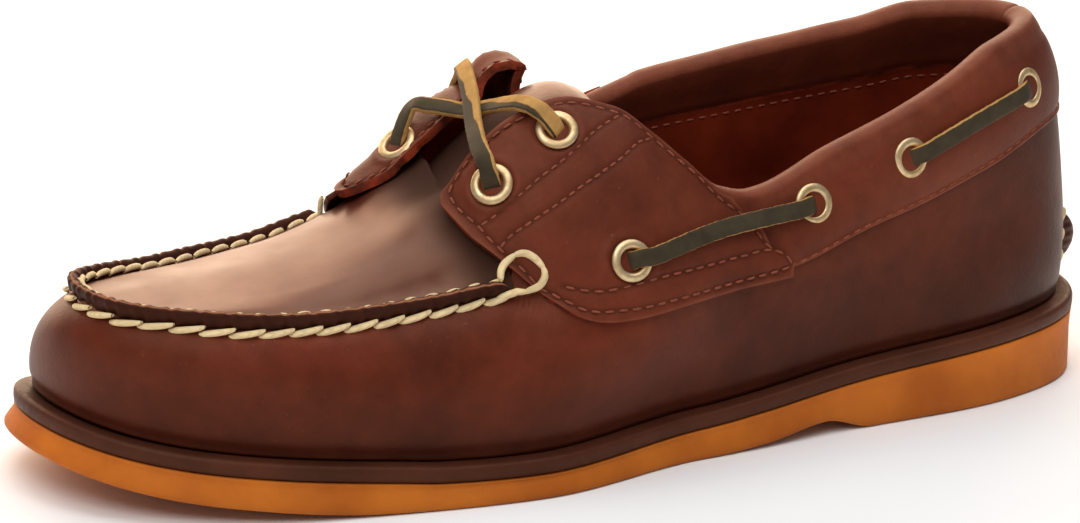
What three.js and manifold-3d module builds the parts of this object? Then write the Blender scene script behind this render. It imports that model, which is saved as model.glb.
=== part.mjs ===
// A men's two-eye boat shoe for the left foot, as a scene of closed solids in millimetres.
// X runs from heel to toe, Y towards the outer side of the foot, Z up, with the floor at Z = 0.
// The shape of the last is a loft: three rings run round the foot (the foot edge, the moccasin seam
// line and the top line), and every section between them is a pair of cubic curves.
import * as THREE from 'three';
import { mergeVertices } from 'three/addons/utils/BufferGeometryUtils.js';
import Module from 'manifold-3d';

const manifold = await Module();
manifold.setup();

// Driving dimensions.
const origin = { along: 147.7, across: -0.48 };
const sole = { length: 300, heelRadius: 36.4, toeRadius: 42.7, swing: -9 };
const seam = { back: 4.5, front: 288, heelRadius: 29, toeRadius: 28, swing: 0 };
const mouth = { back: 15.6, front: 288, heelRadius: 17, toeRadius: 20, swing: 0 };
const leather = 2.4;
const collarPad = 3.4;
const gap = 0.3;
const saddleLeather = 1.7;
const midsoleThickness = 4;
const footEdgeInset = 4.2;
const insoleThickness = 3.5;
const flapLift = { 1: 1, '-1': 4 };
const throat = 0.66;
const eyelet = { outer: 5.4, hole: 3, wall: 0.5, depth: 4.5, proud: 1.2 };
const lace = { width: 4.6, thickness: 1.9 };

const colours = {
  gum: 0xb8691f, midsole: 0x3a2219, vamp: 0x56251a, saddle: 0x66291b, tongue: 0x4a2018,
  insole: 0x7a2c16, lip: 0x3f1d15, brass: 0xb59a6a, lace: 0x4a443a,
};

// The sole's half widths from its centre line, the height of the outsole's top edge, the height of its
// underside and how far the underside's edge stands out from the top edge.
const soleRows = [
  { along: 0, top: 18.1, under: 0, flare: 0 },
  { along: 0.12, lateral: 36, medial: 35, top: 16.5, under: 0, flare: 0 },
  { along: 0.21, top: 15, under: 0, flare: 0.2 },
  { along: 0.275, top: 13.5, under: 0, flare: 0.4 },
  { along: 0.325, lateral: 41, medial: 34, top: 11.9, under: 3.6, flare: 0.7 },
  { along: 0.39, top: 9.5, under: 0.9, flare: 1.2 },
  { along: 0.45, lateral: 43.7, medial: 35.5, top: 7.7, under: 0, flare: 1.6 },
  { along: 0.62, lateral: 53.3, medial: 48, top: 5.6, under: 0, flare: 2.4 },
  { along: 0.7, top: 6.1, under: 0, flare: 2.4 },
  { along: 0.75, lateral: 50.2, medial: 45, top: 7.4, under: 0.2, flare: 2.5 },
  { along: 0.88, lateral: 43, medial: 33, top: 11.6, under: 4.1, flare: 2.4 },
  { along: 1, top: 18.1, under: 11.8, flare: 2.4 },
];

// The seam line: half widths, and heights on the outer (lateral) and inner (medial) side.
const seamRows = [
  { along: 0, outer: 52.7, inner: 52.7 },
  { along: 0.15, lateral: 31.5, medial: 31, outer: 51, inner: 52 },
  { along: 0.3, lateral: 38, medial: 34, outer: 48, inner: 50 },
  { along: 0.42, lateral: 41.5, medial: 35, outer: 46.4, inner: 49.4 },
  { along: 0.54, lateral: 46.5, medial: 40, outer: 44.8, inner: 50.8 },
  { along: 0.6, lateral: 43, medial: 40.5, outer: 46.5, inner: 51.5 },
  { along: 0.66, lateral: 34.5, medial: 35.5, outer: 48.7, inner: 53 },
  { along: 0.72, lateral: 33, medial: 32, outer: 46.6, inner: 50.5 },
  { along: 0.8, lateral: 31.8, medial: 31.5, outer: 45.2, inner: 45.6 },
  { along: 0.88, lateral: 29.5, medial: 27.5, outer: 46, inner: 44.6 },
  { along: 0.95, lateral: 22, medial: 20, outer: 47.8, inner: 46.4 },
  { along: 1, outer: 48.8, inner: 48.8 },
];

// The lean of the wall at the foot edge, just below the seam line and just above it, in degrees from
// upright, towards the foot.
const leanRows = [
  { along: 0, foot: -4, below: 7, outerAbove: 7, innerAbove: 7 },
  { along: 0.15, foot: -8, below: 7, outerAbove: 7, innerAbove: 7 },
  { along: 0.3, foot: -8, below: 7, outerAbove: 7, innerAbove: 7 },
  { along: 0.42, foot: -8, below: 9, outerAbove: 9, innerAbove: 9 },
  { along: 0.54, foot: -8, below: 16, outerAbove: 16, innerAbove: 14 },
  { along: 0.6, foot: -9, below: 35, outerAbove: 24, innerAbove: 12 },
  { along: 0.66, foot: -12, below: 55, outerAbove: 20, innerAbove: 12 },
  { along: 0.72, foot: -13, below: 58, outerAbove: 40, innerAbove: 40 },
  { along: 0.8, foot: -13, below: 60, outerAbove: 58, innerAbove: 58 },
  { along: 0.88, foot: -12, below: 60, outerAbove: 60, innerAbove: 60 },
  { along: 0.95, foot: -10, below: 60, outerAbove: 60, innerAbove: 60 },
  { along: 1, foot: -8, below: 60, outerAbove: 60, innerAbove: 60 },
];

// The top line: the collar, the facings' inner edges and, in front of the throat, a line along the apron.
const mouthRows = [
  { along: 0, outer: 97, inner: 97, outerLean: 30, innerLean: 30 },
  { along: 0.08, lateral: 21.5, medial: 21.5, outer: 93, inner: 95, outerLean: 20, innerLean: 20 },
  { along: 0.14, lateral: 27.5, medial: 27.5, outer: 87, inner: 90, outerLean: 15, innerLean: 15 },
  { along: 0.2, lateral: 31, medial: 31, outer: 81.1, inner: 86.8, outerLean: 11, innerLean: 11 },
  { along: 0.29, lateral: 33, medial: 33, outer: 73.1, inner: 83.1, outerLean: 9, innerLean: 9 },
  { along: 0.38, lateral: 34, medial: 33.5, outer: 64.7, inner: 79.2, outerLean: 9, innerLean: 9 },
  { along: 0.41, lateral: 33.2, medial: 32.5, outer: 66.5, inner: 77.3, outerLean: 12, innerLean: 12 },
  { along: 0.445, lateral: 30.5, medial: 30, outer: 74.8, inner: 75.8, outerLean: 20, innerLean: 20 },
  { along: 0.48, lateral: 26, medial: 26.5, outer: 83, inner: 76, outerLean: 34, innerLean: 34 },
  { along: 0.51, lateral: 21, medial: 22, outer: 88.6, inner: 78, outerLean: 50, innerLean: 45 },
  { along: 0.535, medial: 18, inner: 82.5 },
  { along: 0.55, lateral: 15.8, medial: 15.5, outer: 90.5, inner: 95, outerLean: 58, innerLean: 62 },
  { along: 0.575, medial: 12, inner: 87.5 },
  { along: 0.6, lateral: 14.3, medial: 10.5, outer: 86.2, inner: 82.5, outerLean: 60, innerLean: 88 },
  { along: 0.634, lateral: 14.3, medial: 10.5, outer: 78.9, inner: 76.3, outerLean: 60, innerLean: 90 },
  { along: 0.66, lateral: 14.3, medial: 10.5, outer: 69.6, inner: 70.5, outerLean: 62, innerLean: 84 },
  { along: 0.69, medial: 12.5, inner: 64.3 },
  { along: 0.72, lateral: 18.5, medial: 17, outer: 57.6, inner: 58, outerLean: 72, innerLean: 74 },
  { along: 0.8, lateral: 18, medial: 17, outer: 51.6, inner: 51.4, outerLean: 80, innerLean: 80 },
  { along: 0.88, lateral: 16, medial: 15, outer: 49.6, inner: 49.2, outerLean: 84, innerLean: 84 },
  { along: 0.95, lateral: 12, medial: 11, outer: 49.4, inner: 49, outerLean: 86, innerLean: 86 },
  { along: 1, outer: 49.2, inner: 49.2, outerLean: 86, innerLean: 86 },
];
const apronRows = [
  { along: 0.5, crown: 88 },
  { along: 0.66, crown: 68.2 },
  { along: 0.72, crown: 59.2 },
  { along: 0.8, crown: 53.2 },
  { along: 0.88, crown: 50.8 },
  { along: 0.95, crown: 50 },
  { along: 1, crown: 49.2 },
];

// A station's turn round either side of the ring: 0 at the heel, half a turn at the toe.
const turnAt = (along) => Math.acos(1 - 2 * along);
const radians = THREE.MathUtils.degToRad;

// A smooth curve through a table's column, over the turn, that never swings past its rows.
function through(rows, column, shape = (value) => value) {
  const kept = rows.filter((row) => row[column] !== undefined);
  const at = kept.map((row) => turnAt(row.along));
  const value = kept.map((row) => shape(row[column], row.along));
  const step = at.slice(1).map((x, i) => x - at[i]);
  const slope = step.map((h, i) => (value[i + 1] - value[i]) / h);
  const tangent = at.map((_, i) => {
    if (i === 0 || i === at.length - 1 || slope[i - 1] * slope[i] <= 0) return 0;
    const [a, b] = [2 * step[i] + step[i - 1], step[i] + 2 * step[i - 1]];
    return (a + b) / (a / slope[i - 1] + b / slope[i]);
  });
  return (turn) => {
    const x = Math.min(Math.max(turn, at[0]), at[at.length - 1]);
    let i = 0;
    while (i < step.length - 1 && x > at[i + 1]) i += 1;
    const t = (x - at[i]) / step[i];
    const [t2, t3] = [t * t, t * t * t];
    return (2 * t3 - 3 * t2 + 1) * value[i] + (t3 - 2 * t2 + t) * step[i] * tangent[i]
      + (3 * t2 - 2 * t3) * value[i + 1] + (t3 - t2) * step[i] * tangent[i + 1];
  };
}

// A ring in plan: half a cosine along, and half width times the sine across, so both ends are round.
function ring(spec, rows, column, back = 0, front = spec.length) {
  const long = front - back;
  const ends = [
    { along: 0, [column]: Math.sqrt((spec.heelRadius * long) / 2) },
    ...rows.filter((row) => row[column] !== undefined).map((row) => (
      { along: row.along, [column]: row[column] / Math.sin(turnAt(row.along)) })),
    { along: 1, [column]: Math.sqrt((spec.toeRadius * long) / 2) },
  ];
  const full = through(ends, column);
  return (turn) => {
    const along = (1 - Math.cos(turn)) / 2;
    const centre = spec.swing * along ** 2.4;
    return { x: back + long * along, centre, half: full(turn) * Math.sin(turn) };
  };
}
const soleRing = { 1: ring(sole, soleRows, 'lateral'), '-1': ring(sole, soleRows, 'medial') };
const seamRing = {
  1: ring(seam, seamRows, 'lateral', seam.back, seam.front),
  '-1': ring(seam, seamRows, 'medial', seam.back, seam.front),
};
const mouthRing = {
  1: ring(mouth, mouthRows, 'lateral', mouth.back, mouth.front),
  '-1': ring(mouth, mouthRows, 'medial', mouth.back, mouth.front),
};
const seamHeight = { 1: through(seamRows, 'outer'), '-1': through(seamRows, 'inner') };
const mouthHeight = { 1: through(mouthRows, 'outer'), '-1': through(mouthRows, 'inner') };
const footLean = through(leanRows, 'foot', radians);
const belowLean = through(leanRows, 'below', radians);
const aboveLean = {
  1: through(leanRows, 'outerAbove', radians),
  '-1': through(leanRows, 'innerAbove', radians),
};
const mouthLean = {
  1: through(mouthRows, 'outerLean', radians),
  '-1': through(mouthRows, 'innerLean', radians),
};
const crown = through(apronRows, 'crown');
const soleTop = through(soleRows, 'top');
const soleUnder = through(soleRows, 'under');
const soleFlare = through(soleRows, 'flare');

// The outsole's top edge moved outwards (or inwards, below 0) in plan. Side is 1 outside, -1 inside.
function soleEdge(turn, side, outwards, z) {
  const at = (t) => {
    const p = soleRing[side](Math.min(Math.max(t, 0), Math.PI));
    return new THREE.Vector2(p.x, p.centre + side * p.half);
  };
  const p = at(turn);
  const n = outward(turn, side);
  return new THREE.Vector3(p.x + n.x * outwards, p.y + n.y * outwards, z);
}

// The outward direction in plan, square to the sole's edge.
function outward(turn, side) {
  const d = 0.02;
  const [a, b] = [Math.max(turn - d, 0), Math.min(turn + d, Math.PI)];
  if (turn < d / 2) return new THREE.Vector2(-1, 0);
  if (turn > Math.PI - d / 2) return new THREE.Vector2(1, 0);
  const [p, q] = [soleRing[side](a), soleRing[side](b)];
  const along = new THREE.Vector2(q.x - p.x, q.centre - p.centre + side * (q.half - p.half));
  return new THREE.Vector2(-along.y * side, along.x * side).normalize();
}

// The last's skin. Rise 0 is the foot edge, 1 the seam line, 2 the top line and 3 the middle of the apron.
function skin(turn, side, rise) {
  const foot = soleEdge(turn, side, -footEdgeInset, soleTop(turn) + midsoleThickness + gap);
  const s = seamRing[side](turn);
  const seamPoint = new THREE.Vector3(s.x, s.centre + side * s.half, seamHeight[side](turn));
  const m = mouthRing[side](turn);
  const mouthPoint = new THREE.Vector3(m.x, m.centre + side * m.half, mouthHeight[side](turn));
  const n = outward(turn, side);
  const heading = (lean) => new THREE.Vector3(-n.x * Math.sin(lean), -n.y * Math.sin(lean), Math.cos(lean));
  const span = (a, b, leanA, leanB, t) => {
    const reach = a.distanceTo(b) * 0.38;
    const from = a.clone().addScaledVector(heading(leanA), reach);
    const to = b.clone().addScaledVector(heading(leanB), -reach);
    return new THREE.CubicBezierCurve3(a, from, to, b).getPoint(t);
  };
  if (rise <= 1) return span(foot, seamPoint, footLean(turn), belowLean(turn), rise);
  if (rise <= 2) return span(seamPoint, mouthPoint, aboveLean[side](turn), mouthLean[side](turn), rise - 1);
  const t = rise - 2;
  const middle = new THREE.Vector3(m.x, m.centre, crown(turn));
  const p = mouthPoint.clone().lerp(middle, t);
  const start = Math.abs(m.half) / Math.tan(mouthLean[side](turn));
  const level = (t ** 3 - 2 * t ** 2 + t) * start;
  p.z = mouthPoint.z + (middle.z - mouthPoint.z) * (3 * t * t - 2 * t ** 3) + level;
  return p;
}

// Indexed mesh helpers.
function solidFrom(points, triangles) {
  const geometry = new THREE.BufferGeometry();
  const values = points.flatMap((p) => p.toArray());
  geometry.setAttribute('position', new THREE.Float32BufferAttribute(values, 3));
  geometry.setIndex(triangles.flat());
  return mergeVertices(geometry, 1e-3);
}

// A leather sheet: a grid of outer points with the kept cells filled, thickened inwards along the normals.
// The grid may close on itself at its ends; lift moves the outer face off the grid.
function sheet(grid, keep, thickness, lift = () => 0, flatFoot = false) {
  const ids = new Map();
  const outer = [];
  const places = [];
  const id = (i, j) => {
    const p = grid[i][j];
    const key = p.toArray().map((v) => Math.round(v * 200)).join();
    if (!ids.has(key)) {
      ids.set(key, outer.length);
      outer.push(p);
      places.push([i, j]);
    }
    return ids.get(key);
  };
  const faces = [];
  const addFace = (a, b, c) => {
    if (a !== b && b !== c && c !== a) faces.push([a, b, c]);
  };
  for (let i = 0; i < grid.length - 1; i += 1) {
    for (let j = 0; j < grid[i].length - 1; j += 1) {
      if (!keep(i, j)) continue;
      const [a, b, c, d] = [id(i, j), id(i + 1, j), id(i + 1, j + 1), id(i, j + 1)];
      addFace(a, c, b);
      addFace(a, d, c);
    }
  }
  const normals = outer.map(() => new THREE.Vector3());
  for (const [a, b, c] of faces) {
    const u = outer[b].clone().sub(outer[a]);
    const n = u.cross(outer[c].clone().sub(outer[a]));
    [a, b, c].forEach((v) => normals[v].add(n));
  }
  normals.forEach((n) => n.normalize());
  const offset = (p, k, amount) => {
    const n = normals[k].clone();
    const foot = flatFoot && (places[k][1] === 0 || places[k][1] === grid[0].length - 1);
    if (foot) n.setZ(0).normalize();
    return p.clone().addScaledVector(n, amount);
  };
  const outside = outer.map((p, k) => offset(p, k, lift(...places[k])));
  const inside = outer.map((p, k) => offset(p, k, lift(...places[k]) - thickness(...places[k])));
  const count = outer.length;
  const edges = new Set(faces.flatMap(([a, b, c]) => [`${a},${b}`, `${b},${c}`, `${c},${a}`]));
  const triangles = faces.flatMap(([a, b, c]) => [[a, b, c], [c + count, b + count, a + count]]);
  for (const edge of edges) {
    const [a, b] = edge.split(',').map(Number);
    if (!edges.has(`${b},${a}`)) triangles.push([b, a, a + count], [b, a + count, b + count]);
  }
  return solidFrom([...outside, ...inside], triangles);
}

// Booleans, on geometries whose shared vertices are merged.
function toManifold(geometry) {
  const bare = geometry.clone();
  ['normal', 'uv'].forEach((name) => bare.deleteAttribute(name));
  const merged = mergeVertices(bare, 1e-4);
  return new manifold.Manifold(new manifold.Mesh({
    numProp: 3,
    vertProperties: new Float32Array(merged.attributes.position.array),
    triVerts: new Uint32Array(merged.index.array),
  }));
}
function fromManifold(body) {
  const mesh = body.getMesh();
  const geometry = new THREE.BufferGeometry();
  geometry.setAttribute('position', new THREE.BufferAttribute(mesh.vertProperties, 3));
  geometry.setIndex(new THREE.BufferAttribute(mesh.triVerts, 1));
  return geometry;
}

// Stations along the shoe, closer together at the round ends, and the rises of the grid's rows.
const evenCount = 34;
const flapCorner = [0.535, 0.55];
const turns = Array.from({ length: evenCount + 1 }, (_, i) => {
  const even = (Math.PI * i) / evenCount;
  return even - 0.06 * Math.sin(2 * even);
});
turns.push(...flapCorner.map(turnAt));
turns.sort((a, b) => a - b);
const stationCount = turns.length - 1;
const throatStation = turns.reduce((best, turn, i) => (
  Math.abs(turn - turnAt(throat)) < Math.abs(turns[best] - turnAt(throat)) ? i : best), 0);
turns[throatStation] = turnAt(throat);
const wallRises = [0, 0.18, 0.4, 0.62, 0.82, 0.94, 1, 1.08, 1.3, 1.55, 1.8, 2];
const apronRises = [2.4];
const halfRises = [...wallRises, ...apronRises];
const seamRow = wallRises.indexOf(1);
const topRow = wallRises.indexOf(2);

// The whole upper's grid: each station runs from the outer foot edge over the top to the inner foot edge.
const upperGrid = turns.map((turn) => [
  ...halfRises.map((rise) => skin(turn, 1, rise)),
  skin(turn, 1, 3),
  ...halfRises.toReversed().map((rise) => skin(turn, -1, rise)),
]);
const rowCount = upperGrid[0].length;
const sideRow = (j) => (j < rowCount / 2 ? j : rowCount - 1 - j);
const inWall = (i, j) => j < topRow || j >= rowCount - 1 - topRow;

function upper() {
  const padded = (i, j) => {
    const collar = THREE.MathUtils.smoothstep(throat - 0.14 - (1 - Math.cos(turns[i])) / 2, 0, 0.12);
    const high = THREE.MathUtils.smoothstep(halfRises[sideRow(j)] ?? 3, 1.5, 2);
    return leather + collarPad * collar * high;
  };
  const keep = (i, j) => inWall(i, j) || i >= throatStation;
  return sheet(upperGrid, keep, padded, () => 0, true);
}

// The height of a saddle's outer face over the upper: its free front corner stands up at the throat.
function flapHeight(along, rise, side) {
  const forwards = THREE.MathUtils.smoothstep(along, 0.52, 0.69);
  const upwards = THREE.MathUtils.smoothstep(rise, 1.3, 2);
  return gap + saddleLeather + flapLift[side] * forwards * upwards;
}

// The saddle: a skin over the upper's own grid, cut to its outline by a block seen from the side.
function saddle(side) {
  const outline = new THREE.Shape();
  const front = side > 0 ? 0 : 12;
  outline.moveTo(188, 52);
  outline.lineTo(197 + front, 63);
  outline.lineTo(200 + front, 70);
  outline.lineTo(200, 110);
  outline.lineTo(120, 110);
  outline.lineTo(120.5, 62);
  outline.lineTo(111, 47.5);
  outline.lineTo(160, 40.8);
  outline.quadraticCurveTo(172, 40, 177, 44.2);
  outline.closePath();
  const depth = 70;
  const block = new THREE.ExtrudeGeometry(outline, { depth, bevelEnabled: false, curveSegments: 5 });
  block.rotateX(Math.PI / 2);
  block.translate(0, side > 0 ? depth : 0, 0);
  const first = turns.findIndex((turn) => (1 - Math.cos(turn)) / 2 > 0.3);
  const ofSide = (j) => (j < rowCount / 2) === side > 0;
  const keep = (i, j) => inWall(i, j) && ofSide(j) && i >= first && i <= throatStation + 2
    && (i < throatStation || sideRow(j) > seamRow);
  const lifted = (i, j) => flapHeight((1 - Math.cos(turns[i])) / 2, halfRises[sideRow(j)] ?? 3, side);
  const skinBody = sheet(upperGrid, keep, () => saddleLeather, lifted);
  return fromManifold(toManifold(skinBody).intersect(toManifold(block)));
}

// A strip between two plan rings and two heights, closed across the shoe: soles and insole.
function slab(stations, levels) {
  const rows = levels.length;
  const points = [];
  const triangles = [];
  for (const turn of stations) {
    for (const side of [1, -1]) {
      for (const level of levels) {
        points.push(soleEdge(turn, side, level.outwards(turn), level.height(turn)));
      }
    }
  }
  const at = (i, side, level) => (i * 2 + (side > 0 ? 0 : 1)) * rows + level;
  const quad = (a, b, c, d) => triangles.push([a, b, c], [a, c, d]);
  for (let i = 0; i < stations.length - 1; i += 1) {
    for (let k = 0; k < rows - 1; k += 1) {
      quad(at(i, 1, k), at(i, 1, k + 1), at(i + 1, 1, k + 1), at(i + 1, 1, k));
      quad(at(i, -1, k), at(i + 1, -1, k), at(i + 1, -1, k + 1), at(i, -1, k + 1));
    }
    quad(at(i, 1, 0), at(i + 1, 1, 0), at(i + 1, -1, 0), at(i, -1, 0));
    quad(at(i, 1, rows - 1), at(i, -1, rows - 1), at(i + 1, -1, rows - 1), at(i + 1, 1, rows - 1));
  }
  const merged = solidFrom(points, triangles);
  return dropEmptyTriangles(merged);
}
function dropEmptyTriangles(geometry) {
  const index = geometry.index.array;
  const kept = [];
  for (let i = 0; i < index.length; i += 3) {
    const [a, b, c] = index.slice(i, i + 3);
    if (a !== b && b !== c && c !== a) kept.push(a, b, c);
  }
  geometry.setIndex(kept);
  return geometry;
}

function outsole() {
  return slab(turns, [
    { outwards: (turn) => soleFlare(turn), height: soleUnder },
    { outwards: (turn) => soleFlare(turn), height: (turn) => soleUnder(turn) + 1.5 },
    { outwards: () => 0, height: (turn) => soleTop(turn) - gap },
  ]);
}
function midsole() {
  return slab(turns, [
    { outwards: () => 0, height: soleTop },
    { outwards: () => -0.6, height: (turn) => soleTop(turn) + midsoleThickness },
  ]);
}
function insole() {
  const inset = () => -footEdgeInset - leather - 1;
  const base = (turn) => soleTop(turn) + midsoleThickness + gap;
  return slab(turns, [
    { outwards: inset, height: base },
    { outwards: inset, height: (turn) => base(turn) + insoleThickness },
  ]);
}

// The tongue: a bowed sheet under the facings, from beneath the apron's back edge to above the throat.
const tongueRows = [
  { x: 204, crown: 58.6, half: 20, drop: 5 },
  { x: 196, crown: 63.4, half: 20.5, drop: 6 },
  { x: 188, crown: 70.2, half: 21, drop: 7 },
  { x: 178, crown: 79.2, half: 22, drop: 9 },
  { x: 169, crown: 86.4, half: 19, drop: 8.5 },
  { x: 162, crown: 89.6, half: 16.5, drop: 6 },
  { x: 156.5, crown: 90, half: 15.5, drop: 5 },
  { x: 152, crown: 88.3, half: 14, drop: 4 },
];
function tongue() {
  const across = [1, 0.8, 0.5, 0, -0.5, -0.8, -1];
  const grid = tongueRows.map((row) => across.map((v) => (
    new THREE.Vector3(row.x, v * row.half, row.crown - row.drop * Math.abs(v) ** 2.2))));
  grid.reverse();
  return sheet(grid, () => true, () => 2);
}

// The raised moccasin seam: a bead over the seam line from the outer throat round the toe to the inner one.
function seamBead() {
  const first = throatStation;
  const path = [];
  for (let i = first; i <= stationCount; i += 1) path.push([i, 1]);
  for (let i = stationCount - 1; i >= first + 2; i -= 1) path.push([i, -1]);
  const points = [];
  for (const [i, side] of path) {
    const pick = (row) => upperGrid[i][side > 0 ? row : rowCount - 1 - row];
    const [below, at, above] = [pick(seamRow - 1), pick(seamRow), pick(seamRow + 1)];
    const inwards = above.clone().sub(below).normalize();
    const up = new THREE.Vector3(0, 0, 1).addScaledVector(inwards, -inwards.z).normalize();
    const bottom = at.clone().addScaledVector(up, gap * 1.6);
    const place = (inward, high) => (
      bottom.clone().addScaledVector(inwards, inward).addScaledVector(up, high));
    points.push(place(0, 0), place(-2.3, 0.9), place(-2, 3.1), place(0, 4), place(2, 3.1), place(2.3, 0.9));
  }
  const sides = 6;
  const triangles = [];
  for (let i = 0; i < path.length - 1; i += 1) {
    for (let k = 0; k < sides; k += 1) {
      const [a, b] = [i * sides + k, i * sides + ((k + 1) % sides)];
      triangles.push([a, b + sides, a + sides], [a, b, b + sides]);
    }
  }
  const last = (path.length - 1) * sides;
  for (let k = 1; k < sides - 1; k += 1) {
    triangles.push([0, k + 1, k], [last, last + k, last + k + 1]);
  }
  return solidFrom(points, triangles);
}

// The pinched seam at the back of the heel: a small fin that stands out from the upper.
function heelFin() {
  const rise = { low: 23.4, high: 39, out: 7, half: 4.2 };
  const outline = new THREE.Shape();
  outline.moveTo(4, rise.low + 3);
  outline.lineTo(-rise.out + 3, rise.low);
  outline.quadraticCurveTo(-rise.out, rise.low + 1, -rise.out, rise.low + 5);
  outline.lineTo(-rise.out, rise.high - 7);
  outline.quadraticCurveTo(-rise.out + 1, rise.high - 1, 4, rise.high);
  outline.closePath();
  const across = { depth: rise.half * 2, bevelEnabled: false, curveSegments: 5 };
  const fin = new THREE.ExtrudeGeometry(outline, across);
  fin.rotateX(Math.PI / 2);
  fin.translate(0, rise.half, 0);
  const back = (i, j) => inWall(i, j) && i < 5 && sideRow(j) < seamRow;
  const cutter = sheet(upperGrid, back, () => 20, () => gap);
  return fromManifold(toManifold(fin).subtract(toManifold(cutter)));
}

// A place on the leather and its outward normal, by station and rise; lift counts from the upper's skin.
function surface(along, rise, side, lift = 0) {
  const [turn, small] = [turnAt(along), 0.02];
  const upwards = skin(turn, side, rise + small).sub(skin(turn, side, rise - small));
  const forwards = skin(turn + small, side, rise).sub(skin(turn - small, side, rise));
  const normal = upwards.cross(forwards).multiplyScalar(side).normalize();
  return { point: skin(turn, side, rise).addScaledVector(normal, lift), normal };
}

// Eyelets: brass rings with a barrel through the leather, the same set on each side. Where the inner side's
// flap curves, its eyelet stands a little higher.
const eyeletRows = [
  { name: 'front_upper', along: 0.573, lateral: 1.84, medial: 1.6, onFlap: true, curve: 1.2 },
  { name: 'front_lower', along: 0.634, lateral: 1.735, medial: 1.66, onFlap: true },
  { name: 'side_1', along: 0.546, lateral: 1.19, medial: 1.18, onFlap: true },
  { name: 'side_2', along: 0.325, lateral: 1.68, medial: 1.66 },
  { name: 'side_3', along: 0.214, lateral: 1.7, medial: 1.71 },
  { name: 'side_4', along: 0.06, lateral: 1.72, medial: 1.74 },
];
const sideName = { 1: 'lateral', '-1': 'medial' };
const eyeletPlaces = [1, -1].flatMap((side) => eyeletRows.map((eyeletRow) => {
  const { name: row, along, onFlap, curve = 0, ...rises } = eyeletRow;
  const rise = rises[sideName[side]];
  const lift = (onFlap ? flapHeight(along, rise, side) : 0) + (side < 0 ? curve : 0);
  const { point, normal } = surface(along, rise, side, lift);
  const turnTo = new THREE.Quaternion().setFromUnitVectors(new THREE.Vector3(0, 1, 0), normal);
  return { name: `eyelet_${sideName[side]}_${row}`, side, row, along, rise, lift, point, normal, turnTo };
}));
function eyeletRing(place) {
  const { outer, hole, wall, depth, proud } = eyelet;
  const profile = [
    [hole, -depth], [hole + wall, -depth], [hole + wall, gap], [outer, gap],
    [outer - 0.5, proud], [hole, proud], [hole, -depth],
  ].map(([r, h]) => new THREE.Vector2(r, h));
  const ringBody = new THREE.LatheGeometry(profile, 12);
  return ringBody.applyQuaternion(place.turnTo).translate(...place.point);
}
function withHoles(geometry) {
  let body = toManifold(geometry);
  for (const place of eyeletPlaces) {
    const radius = eyelet.hole + eyelet.wall + gap;
    const drill = new THREE.CylinderGeometry(radius, radius, 24, 10);
    drill.applyQuaternion(place.turnTo).translate(...place.point);
    body = body.subtract(toManifold(drill));
  }
  return fromManifold(body);
}

// A flat rawhide lace along a curve, its faces square to the given normals.
function strap(points, normals, steps = 12) {
  const curve = new THREE.CatmullRomCurve3(points, false, 'centripetal');
  const facing = new THREE.CatmullRomCurve3(normals, false, 'centripetal');
  const corners = [];
  for (let i = 0; i <= steps; i += 1) {
    const t = i / steps;
    const middle = curve.getPoint(t);
    const across = curve.getTangent(t).cross(facing.getPoint(t)).normalize();
    const up = across.clone().cross(curve.getTangent(t)).normalize();
    for (const [a, b] of [[1, 1], [1, -1], [-1, -1], [-1, 1]]) {
      corners.push(middle.clone().addScaledVector(across, (a * lace.width) / 2)
        .addScaledVector(up, (b * lace.thickness) / 2));
    }
  }
  const triangles = [];
  for (let i = 0; i < steps; i += 1) {
    for (let k = 0; k < 4; k += 1) {
      const [a, b] = [i * 4 + k, i * 4 + ((k + 1) % 4)];
      triangles.push([a, b + 4, a + 4], [a, b, b + 4]);
    }
  }
  const last = steps * 4;
  triangles.push([0, 2, 1], [0, 3, 2], [last, last + 1, last + 2], [last, last + 2, last + 3]);
  return solidFrom(corners, triangles);
}
const placeOf = (side, row) => eyeletPlaces.find((place) => place.side === side && place.row === row);
const clearOf = eyelet.proud + lace.thickness / 2 + 1.4 * gap;
const above = (place, height) => place.point.clone().addScaledVector(place.normal, height);

// A side lace lies on the leather from one eyelet to the next.
function sideLace(side, from, to) {
  const [a, b] = [placeOf(side, from), placeOf(side, to)];
  const shares = [0.12, 0.3, 0.5, 0.7, 0.88];
  const middle = shares.map((share) => {
    const between = (key) => THREE.MathUtils.lerp(a[key], b[key], share);
    return surface(between('along'), between('rise'), side, between('lift') + clearOf + 0.3);
  });
  return strap(
    [above(a, clearOf), ...middle.map((m) => m.point), above(b, clearOf)],
    [a.normal, ...middle.map((m) => m.normal), b.normal],
  );
}

// The laces that cross in front of the throat: the upper one runs from the outer side's lower eyelet to the
// inner side's upper eyelet, over the other one.
const crossingRows = {
  under: [[177.4, 17, 92], [181.4, 0, 84.4], [187.2, -12, 84], [191.4, -19, 82.3]],
  over: [
    [191, 22, 79.5], [189.8, 17, 82.6], [182.4, -1, 87], [178, -13, 91.2], [175, -20, 91.2],
    [172.5, -25, 88.6],
  ],
};
function frontCrossing() {
  const bar = (from, to, middle) => {
    const [a, b] = [placeOf(1, from), placeOf(-1, to)];
    const upwards = new THREE.Vector3(0.5, 0, 0.87);
    return strap(
      [above(a, clearOf), ...middle.map((at) => new THREE.Vector3(...at)), above(b, clearOf)],
      [a.normal, ...middle.map(() => upwards), b.normal],
    );
  };
  const under = bar('front_upper', 'front_lower', crossingRows.under);
  const over = bar('front_lower', 'front_upper', crossingRows.over);
  return fromManifold(toManifold(under).add(toManifold(over)));
}

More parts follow.
